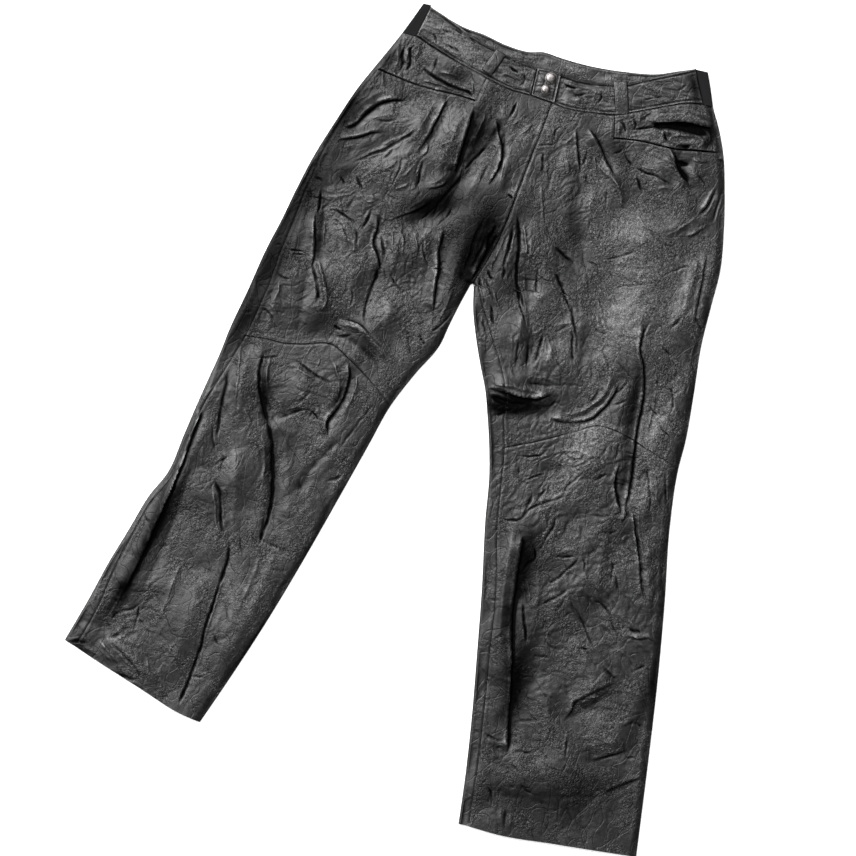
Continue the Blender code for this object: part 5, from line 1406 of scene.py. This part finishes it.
snaps = {
    "upper": (-3.2, 31.0, 1.0),      # x, y and scale
    "lower": (-6.4, 15.5, 0.82),
    "sides": 48,
    "crown": 2.7,            # height of the middle of the cap
    "profile": (             # radius and height: a narrow ring and a domed cap
        (8.0, 0.0), (8.0, 0.5), (7.8, 0.8), (7.4, 0.96), (7.05, 0.94), (6.95, 1.2), (6.6, 1.55), (6.0, 1.9),
        (5.2, 2.2), (4.2, 2.44), (3.2, 2.58), (2.1, 2.66), (1.0, 2.69),
    ),
}


def snapCap(side):
    # the profile turned about an upright axis, closed at the foot and at the crown
    x, y, scale = snaps[side]
    turn = 2 * np.pi * np.arange(snaps["sides"]) / snaps["sides"]
    radius, height = np.array(snaps["profile"]).T[:, :, None] * scale
    foot = layout["tabTop"] + loops["gap"]
    rings = np.dstack([x + radius * np.cos(turn), y + radius * np.sin(turn), foot + height + 0 * turn])
    count = snaps["sides"]
    number = np.arange(rings.shape[0] * count).reshape(rings.shape[:2])
    number = np.hstack([number, number[:, :1]])
    faces = np.stack([number[:-1, :-1], number[:-1, 1:], number[1:, 1:], number[1:, :-1]], axis=-1)
    faces = faces.reshape(-1, 4).tolist()
    low, high = rings[..., 0].size, rings[..., 0].size + 1
    faces += [[low, int(b), int(a)] for a, b in zip(number[0], number[0, 1:])]
    faces += [[high, int(a), int(b)] for a, b in zip(number[-1], number[-1, 1:])]
    crown = foot + snaps["crown"] * scale
    points = np.vstack([rings.reshape(-1, 3), [(x, y, foot), (x, y, crown)]])
    return meshFrom("snap_" + side, points, faces)


snapCaps = [snapCap("upper"), snapCap("lower")]
print("elastics, belt loops and snaps made")

thread = {"pitch": 3.2, "length": 2.5, "thick": 0.5, "sink": 0.08}
# one stitch: a bar with four sides and pointed ends. Columns: along, across, up
stitchPoints = np.array([
    (-0.5, 0, 0), (-0.3, -0.5, 0), (-0.3, 0, -0.4), (-0.3, 0.5, 0), (-0.3, 0, 0.55),
    (0.3, -0.5, 0), (0.3, 0, -0.4), (0.3, 0.5, 0), (0.3, 0, 0.55), (0.5, 0, 0),
])
stitchFaces = [(0, 1 + (i + 1) % 4, 1 + i) for i in range(4)]
stitchFaces += [(1 + i, 1 + (i + 1) % 4, 5 + (i + 1) % 4, 5 + i) for i in range(4)]
stitchFaces += [(9, 5 + i, 5 + (i + 1) % 4) for i in range(4)]


def stitches(name, runs):
    # a row of stitches along each line in space, joined to one piece
    points, faces = [], []
    for line in runs:
        reach = reachAlong(line)
        spots = np.arange(thread["pitch"] / 2, reach[-1], thread["pitch"])
        ends = [np.stack([np.interp(spots + half * thread["length"], reach, axis) for axis in line.T], -1)
                for half in (-0.5, 0.5)]
        along = ends[1] - ends[0]
        beside = np.stack([-along[:, 1], along[:, 0], 0 * spots], -1)
        beside *= thread["thick"] / np.maximum(np.linalg.norm(beside, axis=-1, keepdims=True), 1e-6)
        place = (ends[0] + ends[1]) / 2 - [0, 0, thread["sink"]]
        a, b, c = stitchPoints.T[:, None, :, None]
        made = place[:, None] + a * along[:, None] + b * beside[:, None]
        made += c * np.array([0, 0, thread["thick"]])
        first = sum(len(p) for p in points)
        points.append(made.reshape(-1, 3))
        for i in range(len(spots)):
            faces += [[first + 10 * i + corner for corner in face] for face in stitchFaces]
    return meshFrom(name, np.vstack(points), faces)


def onCloth(line, offset):
    # a line in space on the upper layer, beside a line in plan
    run = np.gradient(line, axis=0)
    left = np.stack([-run[:, 1], run[:, 0]], -1) / np.hypot(*run.T)[:, None]
    plan = line + offset * left
    return np.column_stack([plan, surface(plan)[0]])


def weltLine(name, offset=None):
    # the stitches of a seam, at an offset from its line on the side of the welt
    line, side, width, _ = seamLines[name]
    fine = evenly(line, max(8, int(reachAlong(line)[-1] / 2)))
    return onCloth(fine, side * (width - weltShape["stitchIn"] if offset is None else offset))


def bandRuns(grid, inset, ends=False):
    # the stitched lines of a band piece, along rows of its own grid, and across at its ends
    runs = [grid[inset, 2:-2], grid[-1 - inset, 2:-2]]
    if ends:
        runs += [grid[inset:-inset, inset], grid[inset:-inset, -1 - inset]]
    return runs


# Lines of stitches beside a hem, a pocket mouth and the centre seam: + is left of the way, or on the welt
offsets = {"hem": 18.0, "mouth": (-2.0, -6.5), "centre": (2.6, -3.0)}
leftLegRuns = [weltLine("outseam"), weltLine("kneeLeft"), onCloth(leftHem[2:-2:2], offsets["hem"])]
rightLegRuns = [weltLine("inseam"), weltLine("kneeRight"), onCloth(rightHem[2:-2:2], offsets["hem"])]
pocketRuns = [weltLine("pocketSeamLeft"), weltLine("pocketSeamRight")]
for mouth in (leftMouth, rightMouth):
    pocketRuns += [onCloth(mouth[2:-2:2], offset) for offset in offsets["mouth"]]
pocketRuns += [weltLine("centre", offset) for offset in offsets["centre"]]
waistRuns = []
for grid in (leftGrid, rightGrid, backGrid):
    waistRuns += bandRuns(grid, band["stitchRow"])
waistRuns += bandRuns(tabGrid, band["stitchRow"], True)
for grid in loopGrids:
    waistRuns += [grid[1:-1, column] for column in (2, -3)] + [grid[row, 2:-2] for row in (2, 4, -3, -5)]
threads = [
    stitches("stitching_left_leg", leftLegRuns), stitches("stitching_right_leg", rightLegRuns),
    stitches("stitching_front", pocketRuns), stitches("stitching_waistband", waistRuns),
]
print("stitching made")

black = (0.001, 0.001, 0.001)    # dull leather, and the painted shade in folds that no light gets into


class Out:
    # the output of a node: sums with it, with numbers on either side, add Math nodes
    def __init__(self, finish, socket):
        self.finish, self.socket = finish, socket

    def maths(self, operation, *values):
        sockets = dict(enumerate(values or (self,)))
        return self.finish.node("ShaderNodeMath", {"operation": operation}, sockets)

    def __add__(self, other):
        return self.maths("ADD", self, other)

    def __sub__(self, other):
        return self.maths("SUBTRACT", self, other)

    def __rsub__(self, other):
        return self.maths("SUBTRACT", other, self)

    def __mul__(self, other):
        return self.maths("MULTIPLY", self, other)

    def atMost(self, other):
        return self.maths("MINIMUM", self, other)

    def atLeast(self, other):
        return self.maths("MAXIMUM", self, other)

    __radd__, __rmul__ = __add__, __mul__


class Finish:
    # a material: node() adds a node of a type, with its settings and the values or links of its sockets
    def __init__(self, name, roughness, metallic=0.0):
        self.material = bpy.data.materials.new(name)
        self.material.use_nodes = True
        self.tree = self.material.node_tree
        self.shader = self.tree.nodes["Principled BSDF"]
        self.set("Roughness", roughness)
        self.set("Metallic", metallic)

    def plug(self, slot, value):
        if isinstance(value, Out):
            self.tree.links.new(value.socket, slot)
        else:
            slot.default_value = value

    def set(self, name, value):
        self.plug(self.shader.inputs[name], value)

    def node(self, kind, settings=None, sockets=None, output=0):
        made = self.tree.nodes.new(kind)
        for key, value in (settings or {}).items():
            setattr(made, key, value)
        for key, value in (sockets or {}).items():
            self.plug(made.inputs[key], value)
        return Out(self, made.outputs[output])

    def vector(self, operation, *values, output=0):
        return self.node("ShaderNodeVectorMath", {"operation": operation}, dict(enumerate(values)), output)

    def shared(self, name):
        # a value that shell stored on the vertices
        return self.node("ShaderNodeAttribute", {"attribute_name": name}, output="Fac")

    def place(self):
        # Object coordinates in millimetres
        spot = self.node("ShaderNodeTexCoord", output="Object")
        return self.node("ShaderNodeVectorMath", {"operation": "SCALE"}, {0: spot, "Scale": 1000.0})

    def clouds(self, place, size, detail=2.0, rough=0.5):
        return self.node("ShaderNodeTexNoise", None, {
            "Vector": place, "Scale": 1.0 / size, "Detail": detail, "Roughness": rough}, "Fac")

    def cells(self, place, size, feature):
        return self.node("ShaderNodeTexVoronoi", {"feature": feature}, {
            "Vector": place, "Scale": 1.0 / size}, "Distance")

    def facets(self, place, size):
        # flat cells that each tilt their own way, and fall to 0 at their borders
        cell = self.node("ShaderNodeTexVoronoi", None, {"Vector": place, "Scale": 1.0 / size}, "Position")
        away = self.vector("SUBTRACT", place, cell)
        way = self.vector("SUBTRACT", Out(self, cell.socket.node.outputs["Color"]), (0.5, 0.5, 0.5))
        tilted = self.vector("DOT_PRODUCT", away, way, output="Value")
        return tilted * (self.cells(place, size, "DISTANCE_TO_EDGE") * 6.0).atMost(1.0)

    def wrinkles(self, place, size, width):
        # 1, and 0 on the thin lines where a noise passes its middle
        return ((self.clouds(place, size, 0.0) - 0.5).maths("ABSOLUTE") * (1 / width)).atMost(1.0)

    def blend(self, factor, low, high):
        return self.node("ShaderNodeMix", {"data_type": "RGBA"}, {
            "Factor": factor, 6: (*low, 1.0), 7: (*high, 1.0)}, 2)

    def dimmed(self, factor):
        # mixes in a dull black by the factor: a painted shade, for folds that no light gets into
        shade = self.node("ShaderNodeBsdfPrincipled", None, {
            "Base Color": (*black, 1.0), "Roughness": 1.0, "Specular IOR Level": 0.0})
        leather = Out(self, self.shader.outputs["BSDF"])
        mixed = self.node("ShaderNodeMixShader", None, {0: factor, 1: leather, 2: shade})
        self.plug(self.tree.nodes["Material Output"].inputs["Surface"], mixed)

    def bump(self, height):
        # height in millimetres
        sockets = {"Strength": 1.0, "Distance": 0.001, "Height": height}
        self.set("Normal", self.node("ShaderNodeBump", None, sockets))


leathers = {
    # colour where rubbing wears it pale and where a painted highlight falls, roughness low and high, pebble
    # size and height, crackle size and height, height of the facets
    "leather": ((0.060, 0.060, 0.0610), 0.34, 0.50, 2.4, 0.39, 3.2, 0.48, 0.40),
    "leather_back": ((0.020, 0.020, 0.0204), 0.34, 0.48, 1.1, 0.10, 5.5, 0.16, 0.10),
    "band_leather": ((0.098, 0.098, 0.0995), 0.30, 0.46, 1.8, 0.22, 3.2, 0.38, 0.30),
}
grain = {
    # sizes of the patterns that the leathers share, in millimetres, and of wrinkles also the width of a line
    "warp": 6.0, "broad": 34.0, "fine": 6.0, "speckle": 2.4, "small": 2.6,
    "wrinkles": ((17.0, 0.03), (31.0, 0.016)),
    "dimmest": 0.96,        # share of the painted shade, a dull black, in the deepest folds
    "coatRoughness": 0.28,
}


def leatherFinish(name):
    # pebbles are rounded cells, and crackle is a net of fine lines between larger, warped cells. The
    # leather is pale on crests, partly as wear from rubbing and partly as a painted highlight, pale as a
    # painted highlight where it faces the light, and broken by speckles, which are painted glints on the
    # grain. Folds get a painted shade
    wornAndLitColour, lowRough, highRough, pebble, pebbleHeight, crackle, crackleHeight, facet = leathers[name]
    finish = Finish(name, 0.4)
    finish.set("Coat Roughness", grain["coatRoughness"])
    place = finish.place()
    warp = finish.node("ShaderNodeTexNoise", None, {"Vector": place, "Scale": 0.16, "Detail": 2.0}, "Color")
    warped = finish.vector("MULTIPLY_ADD", warp, (grain["warp"],) * 3, place)
    broad = finish.clouds(place, grain["broad"])
    fine = finish.clouds(place, grain["fine"], 4.0, 0.6)
    crest, lit = finish.shared("crest"), finish.shared("lit")
    # painted light: the pale colour goes in on crests, partly wear and partly a painted highlight, and as a
    # painted highlight where the swells face the light; the speckles are painted glints
    speckle = ((finish.clouds(place, grain["speckle"], 3.0, 0.7) - 0.42) * 5.0).atLeast(0.0)
    pale = (broad * 0.4 + fine * 0.5 + crest * 0.8 - 0.64).atLeast(0.0) + lit * (fine * 0.75 + 0.16)
    finish.set("Base Color", finish.blend(pale * (speckle + 0.15), black, wornAndLitColour))
    worn = (broad * 0.4 + fine * 0.4 + crest * 1.2 - 0.55).atLeast(0.0).atMost(1.0)
    finish.set("Roughness", highRough - worn * (highRough - lowRough))
    finish.set("Coat Weight", (worn * 0.6 - 0.1).atLeast(0.0))
    # painted shade: the dull black goes in where the share for it is high
    finish.dimmed(finish.shared("painted_shade").atMost(grain["dimmest"]))
    grainy = ((broad - 0.5) * 5.0 + crest * 0.7 + lit * 0.5).atLeast(0.15).atMost(1.2)
    pebbles = finish.cells(place, pebble, "SMOOTH_F1") * -pebbleHeight
    lines = (finish.cells(warped, crackle, "DISTANCE_TO_EDGE") * 3.0).atMost(0.6) * crackleHeight
    small = finish.clouds(place, grain["small"]) * 0.35 + finish.facets(warped, crackle) * facet
    stretched = finish.vector("MULTIPLY", place, (1.0, 0.5, 1.0))
    thin, wide = grain["wrinkles"]
    wrinkles = finish.wrinkles(stretched, *thin) + finish.wrinkles(place, *wide)
    finish.bump((pebbles + lines + small) * grainy + fine * 0.35 + wrinkles * 0.22)
    return finish


finishes = {name: leatherFinish(name) for name in leathers}

otherLooks = {
    # dark and pale colour, roughness, metallic, height of the relief in millimetres
    "elastic": ((0.008, 0.008, 0.009), (0.016, 0.016, 0.017), 0.85, 0.0, 0.12),
    "snap_metal": ((0.06, 0.056, 0.056), (0.38, 0.355, 0.35), 0.28, 1.0, 0.02),
    "thread": ((0.012, 0.012, 0.013), (0.035, 0.035, 0.037), 0.5, 0.0, 0.1),
}
clouding = {"snap_metal": (2.5, 4.0, 0.65), "thread": (0.5, 1.0)}    # size, detail and roughness of clouds
cord = 0.9      # from one cord of the elastic to the next
for name, (dark, pale, roughness, metallic, bump) in otherLooks.items():
    finish = finishes[name] = Finish(name, roughness, metallic)
    place = finish.place()
    if name == "elastic":
        finish.set("Specular IOR Level", 0.15)
        pattern = finish.node("ShaderNodeTexWave", {"bands_direction": "X"}, {
            "Vector": place, "Scale": 0.314 / cord, "Distortion": 0.4}, "Fac")
    else:
        pattern = finish.clouds(place, *clouding[name])
    finish.set("Base Color", finish.blend(pattern, dark, pale))
    if name == "snap_metal":
        finish.set("Roughness", pattern * 0.25 + 0.18)
    finish.bump(pattern * bump)

wear = {
    "leather": leftFronts + rightFronts, "leather_back": leftBacks + rightBacks,
    "band_leather": [bandLeft, bandRight, bandBack, tab, *beltLoops],
    "elastic": elastics, "snap_metal": snapCaps, "thread": threads,
}
for name, pieces in wear.items():
    for piece in pieces:
        piece.data.materials.append(finishes[name].material)
        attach(piece, "root")
        if name != "thread":
            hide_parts(piece.name.removesuffix("_finished"))
print("finishes made")

# The cut of each piece of cloth in metres: width and length of its blank, its area, and what it lies on
cuts = {
    "front_thigh_left": (0.285, 0.470, 0.098, "back_thigh_left"),
    "front_thigh_right": (0.300, 0.490, 0.112, "back_thigh_right"),
    "front_shin_left": (0.235, 0.505, 0.104, "back_shin_left"),
    "front_shin_right": (0.240, 0.525, 0.120, "back_shin_right"),
    "pocket_facing_left": (0.150, 0.070, 0.0076, "back_thigh_left"),
    "pocket_facing_right": (0.152, 0.080, 0.0086, "back_thigh_right"),
    "back_thigh_left": (0.310, 0.510, 0.124, "floor"),
    "back_thigh_right": (0.320, 0.520, 0.137, "floor"),
    "back_shin_left": (0.260, 0.480, 0.101, "floor"),
    "back_shin_right": (0.280, 0.485, 0.121, "floor"),
    "waistband_front_left": (0.170, 0.045, 0.0070, "waistband_back"),
    "waistband_front_right": (0.212, 0.046, 0.0089, "waistband_back"),
    "waistband_back": (0.395, 0.062, 0.0202, "floor"),
    "waistband_tab": (0.034, 0.042, 0.0014, "waistband_front_right"),
    "elastic_left": (0.034, 0.044, 0.0014, "floor"),
    "elastic_right": (0.036, 0.043, 0.0013, "floor"),
    "belt_loop_left": (0.017, 0.040, 0.0006, "waistband_front_left"),
    "belt_loop_right": (0.019, 0.048, 0.0009, "waistband_front_right"),
}
for name, (width, length, area, under) in cuts.items():
    bpy.data.objects[name + "_finished"]

studio = {
    "floorSide": 6.0, "floorDrop": 0.0003,
    "floorColour": (0.9, 0.9, 0.9), "floorPale": (0.92, 0.92, 0.92), "floorCloud": 300.0, "floorGlow": 0.6,
    "overhead": (0.6, -0.95, 3.0, 0.9, 1.2),       # x, y, z, side and radiance
    # the key: a large soft lamp with a smaller bright one in its middle
    "keyTurn": 140.0, "keys": {"wide": (52.0, 14.0, 15.5, 4.1), "core": (56.0, 12.0, 4.6, 10.6)},
    "world": 0.02,
}
floorCorners = np.array([(-1, -1), (1, -1), (1, 1), (-1, 1)]) * studio["floorSide"] / 2
floorMesh = bpy.data.meshes.new("floor")
floorMesh.from_pydata([(x, y, -studio["floorDrop"]) for x, y in floorCorners], [], [(0, 1, 2, 3)])
floor = bpy.data.objects.new("floor", floorMesh)
bpy.context.scene.collection.objects.link(floor)
floorFinish = Finish("floor", 0.7)
floorGrain = floorFinish.clouds(floorFinish.place(), studio["floorCloud"])
floorFinish.set("Base Color", floorFinish.blend(floorGrain, studio["floorColour"], studio["floorPale"]))
floorFinish.set("Emission Color", (1.0, 1.0, 1.0, 1.0))
floorFinish.set("Emission Strength", studio["floorGlow"])
floorMesh.materials.append(floorFinish.material)


def softBox(name, place, side, radiance):
    # a square lamp that looks at the origin; its power is the radiance times pi times its area
    x, y, z = place
    lamp = bpy.data.lights.new(name, "AREA")
    lamp.size = side
    lamp.energy = radiance * math.pi * side * side
    holder = bpy.data.objects.new(name, lamp)
    holder.location = place
    holder.rotation_euler = (math.atan2(math.hypot(x, y), z), 0.0, math.atan2(x, -y))
    bpy.context.scene.collection.objects.link(holder)


x, y, z, side, radiance = studio["overhead"]
softBox("overhead", (x, y, z), side, radiance)
turn = math.radians(studio["keyTurn"])
for name, (rise, away, side, radiance) in studio["keys"].items():
    flat = math.cos(math.radians(rise))
    place = (away * math.cos(turn) * flat, away * math.sin(turn) * flat, away * math.sin(math.radians(rise)))
    softBox("key_" + name, place, side, radiance)
world = bpy.data.worlds.new("studio")
world.use_nodes = True
background = world.node_tree.nodes["Background"].inputs
background["Color"].default_value = (1.0, 1.0, 1.0, 1.0)
background["Strength"].default_value = studio["world"]
bpy.context.scene.world = world
bpy.context.scene.view_settings.view_transform = "Standard"

shot = {"above": (0.0045, -0.0208), "height": 4.6, "turn": 13.0, "width": 1.1128, "sensor": 36.0}
camera = bpy.data.objects.new("camera", bpy.data.cameras.new("camera"))
camera.location = (*shot["above"], shot["height"])
camera.rotation_euler = (0.0, 0.0, math.radians(shot["turn"]))
camera.data.lens = shot["sensor"] * shot["height"] / shot["width"]
bpy.context.scene.collection.objects.link(camera)
bpy.context.scene.camera = camera
